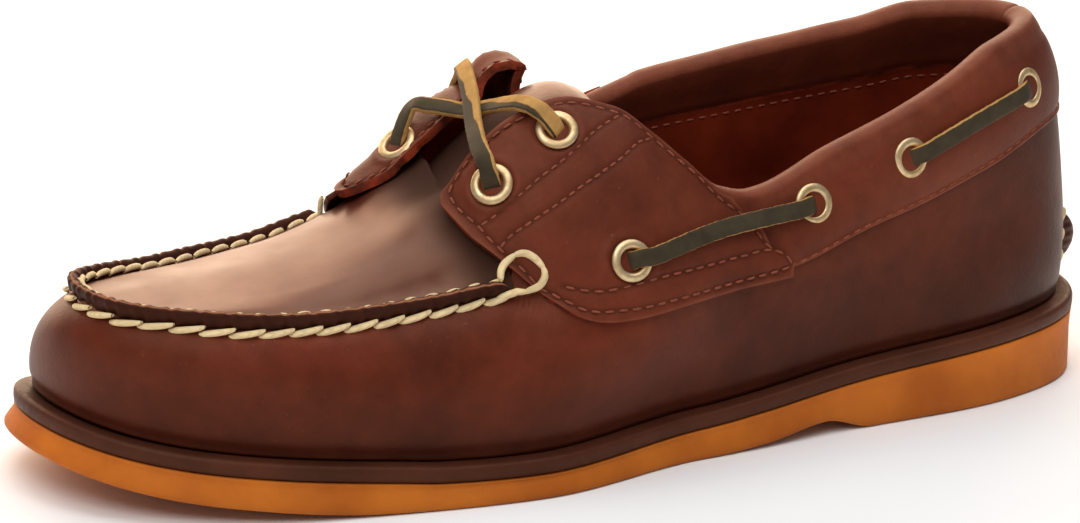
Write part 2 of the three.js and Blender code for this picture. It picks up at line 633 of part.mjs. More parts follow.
const group = new THREE.Group();
group.position.set(-origin.along, -origin.across, 0);
function add(name, geometry, colour, roughness = 0.5, metalness = 0) {
  const material = new THREE.MeshStandardMaterial({ color: colour, roughness, metalness });
  const mesh = new THREE.Mesh(geometry, material);
  mesh.name = name;
  group.add(mesh);
  return mesh;
}
add('outsole', outsole(), colours.gum, 0.6);
add('midsole', midsole(), colours.midsole, 0.6);
add('insole', insole(), colours.insole, 0.8);
add('upper', withHoles(upper()), colours.vamp, 0.4);
add('tongue', tongue(), colours.tongue, 0.5);
add('saddle_lateral', withHoles(saddle(1)), colours.saddle, 0.4);
add('saddle_medial', withHoles(saddle(-1)), colours.saddle, 0.4);
add('moc_seam_bead', seamBead(), colours.lip, 0.5);
add('heel_seam_fin', heelFin(), colours.lip, 0.5);
for (const place of eyeletPlaces) add(place.name, eyeletRing(place), colours.brass, 0.45, 0.8);
for (const side of [1, -1]) {
  add(`lace_side_${sideName[side]}_front`, sideLace(side, 'side_1', 'side_2'), colours.lace, 0.7);
  add(`lace_side_${sideName[side]}_rear`, sideLace(side, 'side_3', 'side_4'), colours.lace, 0.7);
}
add('lace_crossing', frontCrossing(), colours.lace, 0.7);

export default group;
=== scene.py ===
"""A leather boat shoe with a hand-sewn moccasin toe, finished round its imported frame.

The shoe is one continuous surface, the last, cut into leather pieces. A place on it is named by how far
along the shoe it lies (0 at the heel, 1 at the toe), by its side (1 outer, -1 inner) and by its rise
(0 at the sole, 1 on the moccasin seam line, 2 on the top line, 3 on the middle of the apron).
Lengths in the tables are millimetres from the back of the heel; meshes are in metres in the frame.
"""

import bpy
import numpy as np
from mathutils import Matrix, Vector


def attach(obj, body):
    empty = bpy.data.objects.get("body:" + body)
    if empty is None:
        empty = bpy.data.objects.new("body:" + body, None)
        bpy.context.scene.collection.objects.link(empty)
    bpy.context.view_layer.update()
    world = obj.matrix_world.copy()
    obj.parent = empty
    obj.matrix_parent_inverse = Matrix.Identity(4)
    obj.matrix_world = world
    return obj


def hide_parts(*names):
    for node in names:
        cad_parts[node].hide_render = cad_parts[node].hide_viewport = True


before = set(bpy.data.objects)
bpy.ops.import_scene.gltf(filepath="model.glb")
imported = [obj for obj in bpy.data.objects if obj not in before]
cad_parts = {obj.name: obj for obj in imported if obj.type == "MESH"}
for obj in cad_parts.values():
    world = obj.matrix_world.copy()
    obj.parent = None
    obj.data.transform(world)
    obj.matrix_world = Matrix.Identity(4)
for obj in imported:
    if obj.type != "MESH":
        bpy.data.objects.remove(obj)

bl_info = {
    "name": "Boat shoe",
    "version": (1, 0, 0),
    "blender": (4, 5, 0),
    "location": "View3D > Sidebar > Boat shoe",
    "description": "Leather, thread, brass and rubber pieces of a boat shoe on its packed frame",
    "category": "Add Mesh",
}

# Lengths in millimetres: the frame's origin on the last, the gap between pieces that lie on each other, how
# far the upper's foot lies inside the sole's edge, thicknesses, the saddle face's height, the lace's width, one
# inside stitch's pitch, and how deep the side and crossing laces go into their eyelets.
MM = 0.001
FRAME_ORIGIN = (147.7, -0.48, 0.0)
GAP = 0.3
FOOT_INSET = 4.2
MIDSOLE_THICKNESS = 4.0
LEATHER = 2.4
COLLAR_PAD = 3.4
SADDLE_LEATHER = 2.3
SADDLE_FACE = 1.7
LACE_WIDTH = 4.6
LACE_THICKNESS = 1.9
INSIDE_PITCH = 5.6
LACE_END = 2.2
CROSSING_END = 3.4
SIDE_NAMES = {1: "lateral", -1: "medial"}
WAX_TINT = (1.0, 0.62, 0.42, 1)
HANDLE = 0.38


# --- The last -------------------------------------------------------------------------------------------

def columns(names, rows):
    """Splits rows of (along, values...) into one (alongs, values) pair a name, leaving out the empty cells."""
    return {
        name: (
            [row[0] for row in rows if row[k + 1] is not None],
            [row[k + 1] for row in rows if row[k + 1] is not None],
        )
        for k, name in enumerate(names.split())
    }


_ = None
SOLE = columns("lateral medial top under flare", [
    (0, _, _, 18.1, 0, 0),
    (0.12, 36, 35, 16.5, 0, 0),
    (0.21, _, _, 15, 0, 0.2),
    (0.275, _, _, 13.5, 0, 0.4),
    (0.325, 41, 34, 11.9, 3.6, 0.7),
    (0.39, _, _, 9.5, 0.9, 1.2),
    (0.45, 43.7, 35.5, 7.7, 0, 1.6),
    (0.62, 53.3, 48, 5.6, 0, 2.4),
    (0.7, _, _, 6.1, 0, 2.4),
    (0.75, 50.2, 45, 7.4, 0.2, 2.5),
    (0.88, 43, 33, 11.6, 4.1, 2.4),
    (1, _, _, 18.1, 11.8, 2.4),
])
SEAM = columns("lateral medial outer inner foot below outerAbove innerAbove", [
    (0, _, _, 52.7, 52.7, -4, 7, 7, 7),
    (0.15, 31.5, 31, 51, 52, -8, 7, 7, 7),
    (0.3, 38, 34, 48, 50, -8, 7, 7, 7),
    (0.42, 41.5, 35, 46.4, 49.4, -8, 9, 9, 9),
    (0.54, 46.5, 40, 44.8, 50.8, -8, 16, 16, 14),
    (0.6, 43, 40.5, 46.5, 51.5, -9, 35, 24, 12),
    (0.66, 34.5, 35.5, 48.7, 53, -12, 55, 20, 12),
    (0.72, 33, 32, 46.6, 50.5, -13, 58, 40, 40),
    (0.8, 31.8, 31.5, 45.2, 45.6, -13, 60, 58, 58),
    (0.88, 29.5, 27.5, 46, 44.6, -12, 60, 60, 60),
    (0.95, 22, 20, 47.8, 46.4, -10, 60, 60, 60),
    (1, _, _, 48.8, 48.8, -8, 60, 60, 60),
])
MOUTH = columns("lateral medial outer inner outerLean innerLean", [
    (0, _, _, 97, 97, 30, 30),
    (0.08, 21.5, 21.5, 93, 95, 20, 20),
    (0.14, 27.5, 27.5, 87, 90, 15, 15),
    (0.2, 31, 31, 81.1, 86.8, 11, 11),
    (0.29, 33, 33, 73.1, 83.1, 9, 9),
    (0.38, 34, 33.5, 64.7, 79.2, 9, 9),
    (0.41, 33.2, 32.5, 66.5, 77.3, 12, 12),
    (0.445, 30.5, 30, 74.8, 75.8, 20, 20),
    (0.48, 26, 26.5, 83, 76, 34, 34),
    (0.51, 21, 22, 88.6, 78, 50, 45),
    (0.535, _, 18, _, 82.5, _, _),
    (0.55, 15.8, 15.5, 90.5, 95, 58, 62),
    (0.575, _, 12, _, 87.5, _, _),
    (0.6, 14.3, 10.5, 86.2, 82.5, 60, 88),
    (0.634, 14.3, 10.5, 78.9, 76.3, 60, 90),
    (0.66, 14.3, 10.5, 69.6, 70.5, 62, 84),
    (0.69, _, 12.5, _, 64.3, _, _),
    (0.72, 18.5, 17, 57.6, 58, 72, 74),
    (0.8, 18, 17, 51.6, 51.4, 80, 80),
    (0.88, 16, 15, 49.6, 49.2, 84, 84),
    (0.95, 12, 11, 49.4, 49, 86, 86),
    (1, _, _, 49.2, 49.2, 86, 86),
])
APRON = columns("crown", [
    (0.5, 88), (0.66, 68.2), (0.72, 59.2), (0.8, 53.2), (0.88, 50.8), (0.95, 50), (1, 49.2),
])


def turn_at(along):
    """The turn, 0 at the heel to pi at the toe, whose cosine gives that share along the shoe."""
    return np.arccos(1 - 2 * np.asarray(along, float))


def along_at(turn):
    """The share along the shoe of a turn: (1 - cos turn) / 2."""
    return (1 - np.cos(turn)) / 2


def through(pair, shape=lambda value: value):
    """A smooth curve through a table's column that never swings past its rows: cubic pieces whose slope at
    each row is the weighted harmonic mean of the slopes on its two sides, and 0 at a peak or a dip."""
    place = turn_at(pair[0])
    value = shape(np.asarray(pair[1], float))
    step = np.diff(place)
    slope = np.diff(value) / step
    tangent = np.zeros_like(value)
    after = 2 * step[1:] + step[:-1]
    before = step[1:] + 2 * step[:-1]
    same = slope[:-1] * slope[1:] > 0
    safe = np.where(same, slope[:-1], 1), np.where(same, slope[1:], 1)
    tangent[1:-1] = np.where(same, (after + before) / (after / safe[0] + before / safe[1]), 0)

    def curve(x):
        x = np.clip(x, place[0], place[-1])
        i = np.clip(np.searchsorted(place, x, side="right") - 1, 0, len(step) - 1)
        t = (x - place[i]) / step[i]
        start = (2 * t**3 - 3 * t**2 + 1) * value[i] + (t**3 - 2 * t**2 + t) * step[i] * tangent[i]
        return start + (3 * t**2 - 2 * t**3) * value[i + 1] + (t**3 - t**2) * step[i] * tangent[i + 1]

    return curve


def plan_ring(back, front, heel, toe, swing, pair):
    """A line round the shoe in plan. x runs from back to front as the share along; the half width is a
    smooth factor times the sine of the turn, so that both ends are round, with radii heel and toe; the
    centre line swings across as the share along to the power 2.4."""
    length = front - back
    rows = [0.0, *pair[0], 1.0]
    ends = np.sqrt(heel * length / 2), np.sqrt(toe * length / 2)
    factors = [ends[0], *(half / np.sin(turn_at(a)) for a, half in zip(*pair)), ends[1]]
    factor = through((rows, factors))

    def ring(turn):
        along = along_at(turn)
        return back + length * along, swing * along**2.4, factor(turn) * np.sin(turn)

    return ring


def plan_rings(table, **measures):
    """The plan ring of each side, from its column of half widths."""
    return {side: plan_ring(pair=table[name], **measures) for side, name in SIDE_NAMES.items()}


SOLE_RING = plan_rings(SOLE, back=0, front=300, heel=36.4, toe=42.7, swing=-9)
SEAM_RING = plan_rings(SEAM, back=4.5, front=288, heel=29, toe=28, swing=0)
MOUTH_RING = plan_rings(MOUTH, back=15.6, front=288, heel=17, toe=20, swing=0)
SEAM_HEIGHT = {1: through(SEAM["outer"]), -1: through(SEAM["inner"])}
MOUTH_HEIGHT = {1: through(MOUTH["outer"]), -1: through(MOUTH["inner"])}
FOOT_LEAN = through(SEAM["foot"], shape=np.radians)
BELOW_LEAN = through(SEAM["below"], shape=np.radians)
ABOVE_LEAN = {
    1: through(SEAM["outerAbove"], shape=np.radians),
    -1: through(SEAM["innerAbove"], shape=np.radians),
}
MOUTH_LEAN = {
    1: through(MOUTH["outerLean"], shape=np.radians),
    -1: through(MOUTH["innerLean"], shape=np.radians),
}
CROWN = through(APRON["crown"])
SOLE_TOP = through(SOLE["top"])
SOLE_UNDER = through(SOLE["under"])
SOLE_FLARE = through(SOLE["flare"])


def outward(turn, side):
    """The level direction square to the sole's edge, straight back at the heel and straight on at the toe."""
    small = 0.02
    xa, ca, ha = SOLE_RING[side](np.maximum(turn - small, 0))
    xb, cb, hb = SOLE_RING[side](np.minimum(turn + small, np.pi))
    normal = np.stack([-side * (cb - ca + side * (hb - ha)), side * (xb - xa)], -1)
    normal /= np.linalg.norm(normal, axis=-1, keepdims=True)
    at_heel = (turn < small / 2)[..., None]
    at_toe = (turn > np.pi - small / 2)[..., None]
    return np.where(at_heel, (-1.0, 0.0), np.where(at_toe, (1.0, 0.0), normal))


def sole_edge(turn, side, out, height):
    """A point at that height, out from the sole's edge along its level normal."""
    turn = np.clip(turn, 0, np.pi)
    x, centre, half = SOLE_RING[side](turn)
    normal = outward(turn, side)
    parts = x + normal[..., 0] * out, centre + side * half + normal[..., 1] * out, height
    return np.stack(np.broadcast_arrays(*parts), -1)


def skin_on(turn, side, rise):
    """The last on one side. Below the seam and below the top line each span is a cubic Bezier curve between
    two leaning directions, whose handles are a fixed share of the span; above the top line it blends to the
    crown with a level middle."""
    foot = sole_edge(turn, side, -FOOT_INSET, SOLE_TOP(turn) + MIDSOLE_THICKNESS + GAP)
    x, centre, half = SEAM_RING[side](turn)
    seam = np.stack([x, centre + side * half, SEAM_HEIGHT[side](turn)], -1)
    x, centre, half = MOUTH_RING[side](turn)
    mouth = np.stack([x, centre + side * half, MOUTH_HEIGHT[side](turn)], -1)
    normal = outward(turn, side)

    def heading(lean):
        across = -normal * np.sin(lean)[..., None]
        return np.concatenate([across, np.cos(lean)[..., None]], -1)

    def span(a, b, lean_a, lean_b, t):
        reach = np.linalg.norm(b - a, axis=-1, keepdims=True) * HANDLE
        t = t[..., None]
        start, end = a + heading(lean_a) * reach, b - heading(lean_b) * reach
        return (1 - t)**3 * a + 3 * (1 - t)**2 * t * start + 3 * (1 - t) * t**2 * end + t**3 * b

    low = span(foot, seam, FOOT_LEAN(turn), BELOW_LEAN(turn), np.clip(rise, 0, 1))
    high = span(seam, mouth, ABOVE_LEAN[side](turn), MOUTH_LEAN[side](turn), np.clip(rise - 1, 0, 1))
    t = np.clip(rise - 2, 0, 1)
    crown = CROWN(turn)
    slope = np.abs(half) / np.tan(MOUTH_LEAN[side](turn))
    lift = (crown - mouth[..., 2]) * (3 * t**2 - 2 * t**3) + (t**3 - 2 * t**2 + t) * slope
    over = np.stack([mouth[..., 0], mouth[..., 1] * (1 - t) + centre * t, mouth[..., 2] + lift], -1)
    rise = rise[..., None]
    return np.where(rise <= 1, low, np.where(rise <= 2, high, over))


def skin(turn, side, rise):
    """The last at any mix of turns, sides and rises."""
    turn, side, rise = np.broadcast_arrays(np.asarray(turn, float), side, np.asarray(rise, float))
    return np.where((side > 0)[..., None], skin_on(turn, 1, rise), skin_on(turn, -1, rise))


def smooth(value, start, end):
    """0 before start, 1 after end, and an S curve between: 3 t squared less 2 t cubed."""
    t = np.clip((np.asarray(value, float) - start) / (end - start), 0, 1)
    return t * t * (3 - 2 * t)


def bump(value, middle, width):
    """A bell: e to the minus square of the distance from the middle over the width."""
    return np.exp(-((np.asarray(value, float) - middle) / width) ** 2)


def unit(vectors):
    """Vectors of length 1."""
    return vectors / np.maximum(np.linalg.norm(vectors, axis=-1, keepdims=True), 1e-9)


def on_skin(along, rise, side, lift):
    """A place on the last raised along its normal, and that normal: the cross product of the steps up the
    last and along it. The step up stays below the top line, which so keeps its wall's normal."""
    turn, small = turn_at(along), 0.02
    turn, rise, side = np.broadcast_arrays(turn, np.asarray(rise, float), side)
    up = skin(turn, side, np.minimum(rise + small, 2.0)) - skin(turn, side, rise - small)
    ahead = skin(turn + small, side, rise) - skin(turn - small, side, rise)
    normal = unit(side[..., None] * np.cross(up, ahead))
    lift = np.broadcast_to(np.asarray(lift, float), rise.shape)
    return skin(turn, side, rise) + normal * lift[..., None], normal


def flap_height(along, rise, side):
    """How high a saddle's outer face stands over the upper: its free front corner lifts at the throat, by
    1 mm on the outer side, while the inner flap's face stands about 7 mm off the upper, and 8 mm at its peak."""
    corner = smooth(along, 0.52, 0.69) * smooth(rise, 1.3, 2)
    stands = smooth(rise, 1.4, 1.7) * 3.4 * smooth(along, 0.54, 0.565) * (1 - 0.75 * smooth(along, 0.6, 0.65))
    stands = stands + 4.2 * bump(along, 0.551, 0.008) * smooth(rise, 1.6, 1.82)
    return GAP + SADDLE_FACE + np.where(np.asarray(side) > 0, corner, 4 * corner + stands)


# --- Meshes ---------------------------------------------------------------------------------------------

def to_frame(points):
    """Millimetres from the back of the heel to metres in the frame."""
    return (np.asarray(points, float) - FRAME_ORIGIN) * MM


def grid_faces(rows, cols, wrap_rows=False, wrap_cols=False):
    """The four-sided faces of a grid of points, closed on itself where it wraps."""
    i = np.arange(rows if wrap_rows else rows - 1)[:, None]
    j = np.arange(cols if wrap_cols else cols - 1)[None, :]
    i2, j2 = (i + 1) % rows, (j + 1) % cols
    corners = [i * cols + j, i * cols + j2, i2 * cols + j2, i2 * cols + j]
    return np.stack([np.broadcast_to(c, np.broadcast_shapes(i.shape, j.shape)) for c in corners], -1).reshape(-1, 4)


def add_piece(name, points, faces, materials, face_materials=None, attributes=None):
    """A smooth-shaded mesh object on the shoe's body. points are millimetres on the last, faces rows of
    corners, attributes one number for each point by name."""
    mesh = bpy.data.meshes.new(name)
    mesh.from_pydata(to_frame(points.reshape(-1, 3)), [], faces.tolist() if hasattr(faces, "tolist") else faces)
    for material in materials:
        mesh.materials.append(material)
    if face_materials is not None:
        mesh.polygons.foreach_set("material_index", np.asarray(face_materials, np.int32))
    for key, values in (attributes or {}).items():
        layer = mesh.attributes.new(key, "FLOAT", "POINT")
        layer.data.foreach_set("value", np.asarray(values, np.float32).ravel())
    mesh.polygons.foreach_set("use_smooth", np.full(len(mesh.polygons), True))
    mesh.update()
    piece = bpy.data.objects.new(name, mesh)
    bpy.context.scene.collection.objects.link(piece)
    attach(piece, "root")
    return piece


def grid_normals(grid, wrap_cols=False):
    """Unit normals of a grid: rows run up the shoe and columns along it, so up x along points outwards."""
    up = np.gradient(grid, axis=0)
    if wrap_cols:
        ahead = np.roll(grid, -1, axis=1) - np.roll(grid, 1, axis=1)
    else:
        ahead = np.gradient(grid, axis=1)
    return unit(np.cross(up, ahead))


def near(points, path):
    """How far each point lies from the nearest of the path's points, worked out in blocks of rows."""
    flat = points.reshape(-1, 3)
    blocks = np.array_split(flat, max(1, len(flat) * len(path) // 4_000_000))
    least = [np.sqrt(((b[:, None, :] - path[None, :, :]) ** 2).sum(-1).min(1)) for b in blocks]
    return np.concatenate(least).reshape(points.shape[:-1])


def sheet(name, top, thickness, materials, attributes, edge):
    """A cut piece of leather from the grid of its face: a solid of that thickness below the face, whose cut
    sides take the second material, with its edges rounded."""
    rows, cols = top.shape[:2]
    piece = add_piece(name, top, grid_faces(rows, cols)[:, ::-1], materials, attributes=attributes)
    solid = piece.modifiers.new("thickness", "SOLIDIFY")
    solid.thickness = thickness * MM
    solid.offset = -1
    solid.use_even_offset = False
    solid.use_rim = True
    solid.material_offset_rim = 1
    bevel = piece.modifiers.new("edge", "BEVEL")
    bevel.width = edge * MM
    bevel.segments = 2
    bevel.limit_method = "ANGLE"
    bevel.angle_limit = np.radians(50)
    return piece


def resample(points, count, extras=()):
    """Points evenly spaced along a line, found by its running length, with any extra columns alongside."""
    length = np.concatenate([[0], np.cumsum(np.linalg.norm(np.diff(points, axis=0), axis=1))])
    at = np.linspace(0, length[-1], count) if np.isscalar(count) else np.asarray(count)
    pick = [np.stack([np.interp(at, length, column) for column in np.asarray(values).T], -1)
            for values in (points, *extras)]
    return pick, length[-1]


def soft_line(rows, count=400):
    """A smooth line through rows of numbers: Catmull-Rom pieces, whose tangent at each row is half the step
    between its neighbours."""
    rows = np.asarray(rows, float)
    padded = np.concatenate([[2 * rows[0] - rows[1]], rows, [2 * rows[-1] - rows[-2]]])
    place = np.linspace(0, len(rows) - 1, count)
    i = np.minimum(place.astype(int), len(rows) - 2)
    t = (place - i)[:, None]
    a, b, c, d = padded[i], padded[i + 1], padded[i + 2], padded[i + 3]
    return 0.5 * (2 * b + (c - a) * t + (2 * a - 5 * b + 4 * c - d) * t**2 + (3 * b - a - 3 * c + d) * t**3)


def swept(path, across, up, section):
    """A profile carried along a path: each section point lies so far across and so far up from the path's
    point. path, across and up are (n, 3); section is (m, 2) or (n, m, 2)."""
    section = np.broadcast_to(section, (len(path), *np.shape(section)[-2:]))
    return path[:, None] + across[:, None] * section[..., :1] + up[:, None] * section[..., 1:]


def tube(name, rings, materials, attributes=None):
    """A closed skin round a row of rings, with a flat cap at each end."""
    count, sides = rings.shape[:2]
    faces = grid_faces(count, sides, wrap_cols=True).tolist()
    faces.append(list(range(sides))[::-1])
    faces.append(list(range((count - 1) * sides, count * sides)))
    return add_piece(name, rings, [face[::-1] for face in faces], materials, attributes=attributes)


def round_turns(count):
    """Evenly spaced angles round a circle."""
    return np.linspace(0, 2 * np.pi, count, endpoint=False)


def tangents(path):
    """Unit directions along a path."""
    return unit(np.gradient(path, axis=0))


def square_to(vectors, axis):
    """Unit vectors without their parts along the axis."""
    return unit(vectors - axis * (vectors * axis).sum(-1, keepdims=True))


def grains(name, centres, along, across, up, size, materials, sides, rings, tilt=0.0):
    """Many small rounded grains, such as stitches: each is an ellipsoid with its length along the seam and
    its ends pulled down into the leather. size is (length, width, height)."""
    angle = np.linspace(0, np.pi, rings + 2)[1:-1]
    turn = round_turns(sides)
    reach = -0.5 * np.cos(angle)
    girth = np.sin(angle) ** 0.6 * 0.5
    x = np.repeat(reach, sides)
    y = (girth[:, None] * np.cos(turn)).ravel()
    z = (girth[:, None] * np.sin(turn)).ravel()
    x, y, z = (np.concatenate([ends[:1], v, ends[1:]]) for v, ends in ((x, [-0.5, 0.5]), (y, [0, 0]), (z, [0, 0])))
    sink = (2 * np.abs(x)) ** 3 * 0.45
    local = np.stack([x * size[0], y * size[1] + tilt * x * size[0], (z - sink) * size[2]], -1)
    frames = np.stack([along, across, up], 1)
    points = centres[:, None] + np.einsum("vk,nkc->nvc", local, frames)
    base = grid_faces(rings, sides, wrap_cols=True) + 1
    tip = np.arange(sides)
    start = np.stack([np.zeros(sides, int), tip + 1, (tip + 1) % sides + 1], -1)
    last = (rings - 1) * sides + 1
    end = np.stack([np.full(sides, rings * sides + 1), (tip + 1) % sides + last, tip + last], -1)
    shift = (np.arange(len(centres)) * len(local))[:, None, None]
    faces = (base[None] + shift).reshape(-1, 4)[:, ::-1].tolist()
    faces += (start[None] + shift).reshape(-1, 3)[:, ::-1].tolist()
    faces += (end[None] + shift).reshape(-1, 3)[:, ::-1].tolist()
    return add_piece(name, points, faces, materials)


# --- Materials ------------------------------------------------------------------------------------------

class Value:
    """A shader socket in an expression."""

    def __init__(self, nodes, socket):
        self.nodes = nodes
        self.socket = socket

    def calc(self, operation, other):
        return self.nodes.add("ShaderNodeMath", {"operation": operation}, {0: self, 1: other})

    def __add__(self, other):
        return self.calc("ADD", other)

    def __sub__(self, other):
        return self.calc("SUBTRACT", other)

    def __mul__(self, other):
        return self.calc("MULTIPLY", other)


class Finish:
    """One material, built from the nodes that its function asks for."""

    def __init__(self, name):
        self.material = bpy.data.materials.new(name)
        self.material.use_nodes = True
        self.tree = self.material.node_tree
        self.tree.nodes.clear()

    def add(self, kind, settings=None, inputs=None, output=0):
        """A node of that type. Its settings come first, then its inputs as numbers, colours or links."""
        node = self.tree.nodes.new(kind)
        for key, value in (settings or {}).items():
            setattr(node, key, value)
        for key, value in (inputs or {}).items():
            if isinstance(value, Value):
                self.tree.links.new(value.socket, node.inputs[key])
            else:
                node.inputs[key].default_value = value
        return Value(self, node.outputs[output])

    def place(self):
        """Where a point is on the piece, in metres."""
        return self.add("ShaderNodeTexCoord", output="Object")

    def attribute(self, name):
        """A number stored on the piece's points."""
        return self.add("ShaderNodeAttribute", {"attribute_name": name}, output="Fac")

    def noise(self, place, scale, detail, roughness=0.55):
        """Cloudy noise from about 0.25 to 0.75."""
        inputs = {"Vector": place, "Scale": scale, "Detail": detail, "Roughness": roughness}
        return self.add("ShaderNodeTexNoise", {}, inputs, "Fac")

    def cells(self, place, scale):
        """The distance to the nearest cell's middle."""
        inputs = {"Vector": place, "Scale": scale}
        return self.add("ShaderNodeTexVoronoi", {"feature": "F1"}, inputs, "Distance")

    def span(self, value, low, high, start=0.0, end=1.0):
        """A value's range moved to start and end, and held there."""
        inputs = {"Value": value, "From Min": low, "From Max": high, "To Min": start, "To Max": end}
        return self.add("ShaderNodeMapRange", {"clamp": True}, inputs, "Result")

    def mix(self, a, b, factor):
        """Two colours mixed."""
        a, b = (c if isinstance(c, Value) else (*c[:3], 1) for c in (a, b))
        return self.add("ShaderNodeMix", {"data_type": "RGBA"}, {0: factor, 6: a, 7: b}, 2)

    def shade(self, colour, factor):
        """A colour made darker or lighter by a number."""
        grey = self.add("ShaderNodeCombineColor", {}, {"Red": factor, "Green": factor, "Blue": factor})
        settings = {"data_type": "RGBA", "blend_type": "MULTIPLY"}
        return self.add("ShaderNodeMix", settings, {0: 1.0, 6: colour, 7: grey}, 2)

    def relief(self, height, distance, strength, under=None):
        """A bump of that height in metres, on top of another bump."""
        inputs = {"Height": height, "Distance": distance, "Strength": strength}
        if under is not None:
            inputs["Normal"] = under
        return self.add("ShaderNodeBump", {}, inputs)

    def surface(self, **sockets):
        """The finish's one shader, and the material."""
        inputs = {key.replace("_", " "): value for key, value in sockets.items()}
        shader = self.add("ShaderNodeBsdfPrincipled", {}, inputs)
        output = self.tree.nodes.new("ShaderNodeOutputMaterial")
        self.tree.links.new(shader.socket, output.inputs["Surface"])
        return self.material


def leather(name, dye, deep, worn, roughness, shine, grain=1.0, wear=False, painted_shade_low_and_ends=False, painted_shade=False):
    """Waxed leather: dye clouds and darker mottling, a fine pebble grain over a broad soft unevenness, patchy
    wax that changes the gloss, small scuffs, and a paler rub where the piece's wear is high. The wax tints
    its own shine. A painted shade can darken it near the sole, towards the heel and at the tip of the toe; another
    painted shade, set on each point of the piece, makes it darker and duller where that number is high."""
    f = Finish(name)
    place = f.place()
    cloud = f.noise(place, 22, 4)
    mottle = f.noise(place, 160, 5, 0.65)
    wax = f.noise(place, 60, 3)
    colour = f.mix(deep, dye, f.span(cloud, 0.36, 0.62))
    colour = f.shade(colour, f.span(mottle, 0.3, 0.7, 0.84, 1.14))
    if wear:
        rub = f.attribute("wear") * f.span(mottle, 0.35, 0.6, 0.5, 1.0)
        colour = f.mix(colour, worn, rub)
    scuff = f.span(f.noise(place, 420, 2, 0.7), 0.68, 0.76, 0.0, 0.25)
    colour = f.mix(colour, worn, scuff)
    gloss = f.span(wax, 0.32, 0.68, roughness + 0.06, roughness - 0.05)
    # Painted shade: darker near the sole, towards the heel and at the tip of the toe.
    if painted_shade_low_and_ends:
        height = f.add("ShaderNodeSeparateXYZ", {}, {"Vector": place}, "Z")
        along = f.add("ShaderNodeSeparateXYZ", {}, {"Vector": place}, "X")
        colour = f.shade(colour, f.span(height, 0.012, 0.046, 0.45, 1.15) * f.span(along, -0.13, 0.05, 0.42, 1.1)
                         * f.span(along, 0.1, 0.14, 1.0, 0.66))
    # Painted shade: darker, duller colour where the piece's number for painted shade is high.
    if painted_shade:
        shadow = f.attribute("painted_shade")
        colour = f.mix(colour, (*(0.3 * level for level in deep), 1), shadow)
        gloss = gloss + shadow * 0.45
    fine = f.relief(f.cells(place, 1100), 0.00007 * grain, 0.5)
    soft = f.relief(f.noise(place, 330, 2, 0.4), 0.00016 * grain, 0.3, fine)
    normal = f.relief(f.noise(place, 40, 3), 0.0009 * grain, 0.25, soft)
    return f.surface(Base_Color=colour, Roughness=gloss + scuff * 0.2, Normal=normal,
                     Specular_IOR_Level=shine, Specular_Tint=WAX_TINT)


def cut_edge(name, flesh, stain):
    """The raw fibrous edge of cut leather."""
    f = Finish(name)
    place = f.place()
    fibre = f.noise(place, 900, 4, 0.7)
    patch = f.noise(place, 120, 3)
    colour = f.mix(stain, flesh, f.span(patch, 0.38, 0.6))
    colour = f.shade(colour, f.span(fibre, 0.3, 0.7, 0.75, 1.2))
    return f.surface(Base_Color=colour, Roughness=f.span(fibre, 0.3, 0.7, 0.95, 0.8), Specular_IOR_Level=0.1,
                     Normal=f.relief(fibre, 0.0004, 0.7))


def thread(name, fibre, shadow, twist=2200.0):
    """Waxed thread: a fine slanting twist, a few darker fibres and a dull sheen."""
    f = Finish(name)
    place = f.place()
    settings = {"wave_type": "BANDS", "bands_direction": "DIAGONAL"}
    inputs = {"Vector": place, "Scale": twist / 6, "Distortion": 2.0, "Detail": 2.0}
    ply = f.add("ShaderNodeTexWave", settings, inputs, "Fac")
    dirt = f.noise(place, 150, 4)
    colour = f.mix(shadow, fibre, f.span(ply, 0.1, 0.6, 0.72, 1.0))
    colour = f.shade(colour, f.span(dirt, 0.35, 0.65, 0.85, 1.06))
    return f.surface(Base_Color=colour, Roughness=f.span(dirt, 0.3, 0.7, 0.78, 0.62), Specular_IOR_Level=0.15,
                     Normal=f.relief(ply, 0.00012, 0.35))


def rawhide(name, face, suede):
    """A flat lace: waxed grain on its faces, where the edge number is low, and raw suede along its edges."""
    f = Finish(name)
    place = f.place()
    mottle = f.noise(place, 240, 4)
    fibre = f.noise(place, 1300, 3, 0.7)
    raw = f.span(f.attribute("edge") + (mottle - 0.5) * 0.5, 0.42, 0.62)
    colour = f.mix(face, suede, raw)
    colour = f.shade(colour, f.span(mottle, 0.3, 0.7, 0.78, 1.18))
    roughness = f.span(raw, 0.0, 1.0, 0.52, 0.88)
    height = fibre * f.span(raw, 0.0, 1.0, 0.35, 1.0)
    return f.surface(Base_Color=colour, Roughness=roughness, Specular_IOR_Level=0.14, Specular_Tint=WAX_TINT,
                     Normal=f.relief(height, 0.0003, 0.6))


def brass(name, metal, tarnish):
    """Dull brass: tarnish in soft patches, hairline scratches and a satin gloss."""
    f = Finish(name)
    place = f.place()
    patch = f.noise(place, 260, 4)
    scratch = f.noise(place, 2600, 2, 0.8)
    colour = f.mix(tarnish, metal, f.span(patch, 0.36, 0.58))
    gloss = f.span(patch, 0.3, 0.7, 0.52, 0.4) + f.span(scratch, 0.4, 0.7, 0.0, 0.08)
    return f.surface(Base_Color=colour, Metallic=1.0, Roughness=gloss,
                     Normal=f.relief(scratch, 0.00005, 0.4))


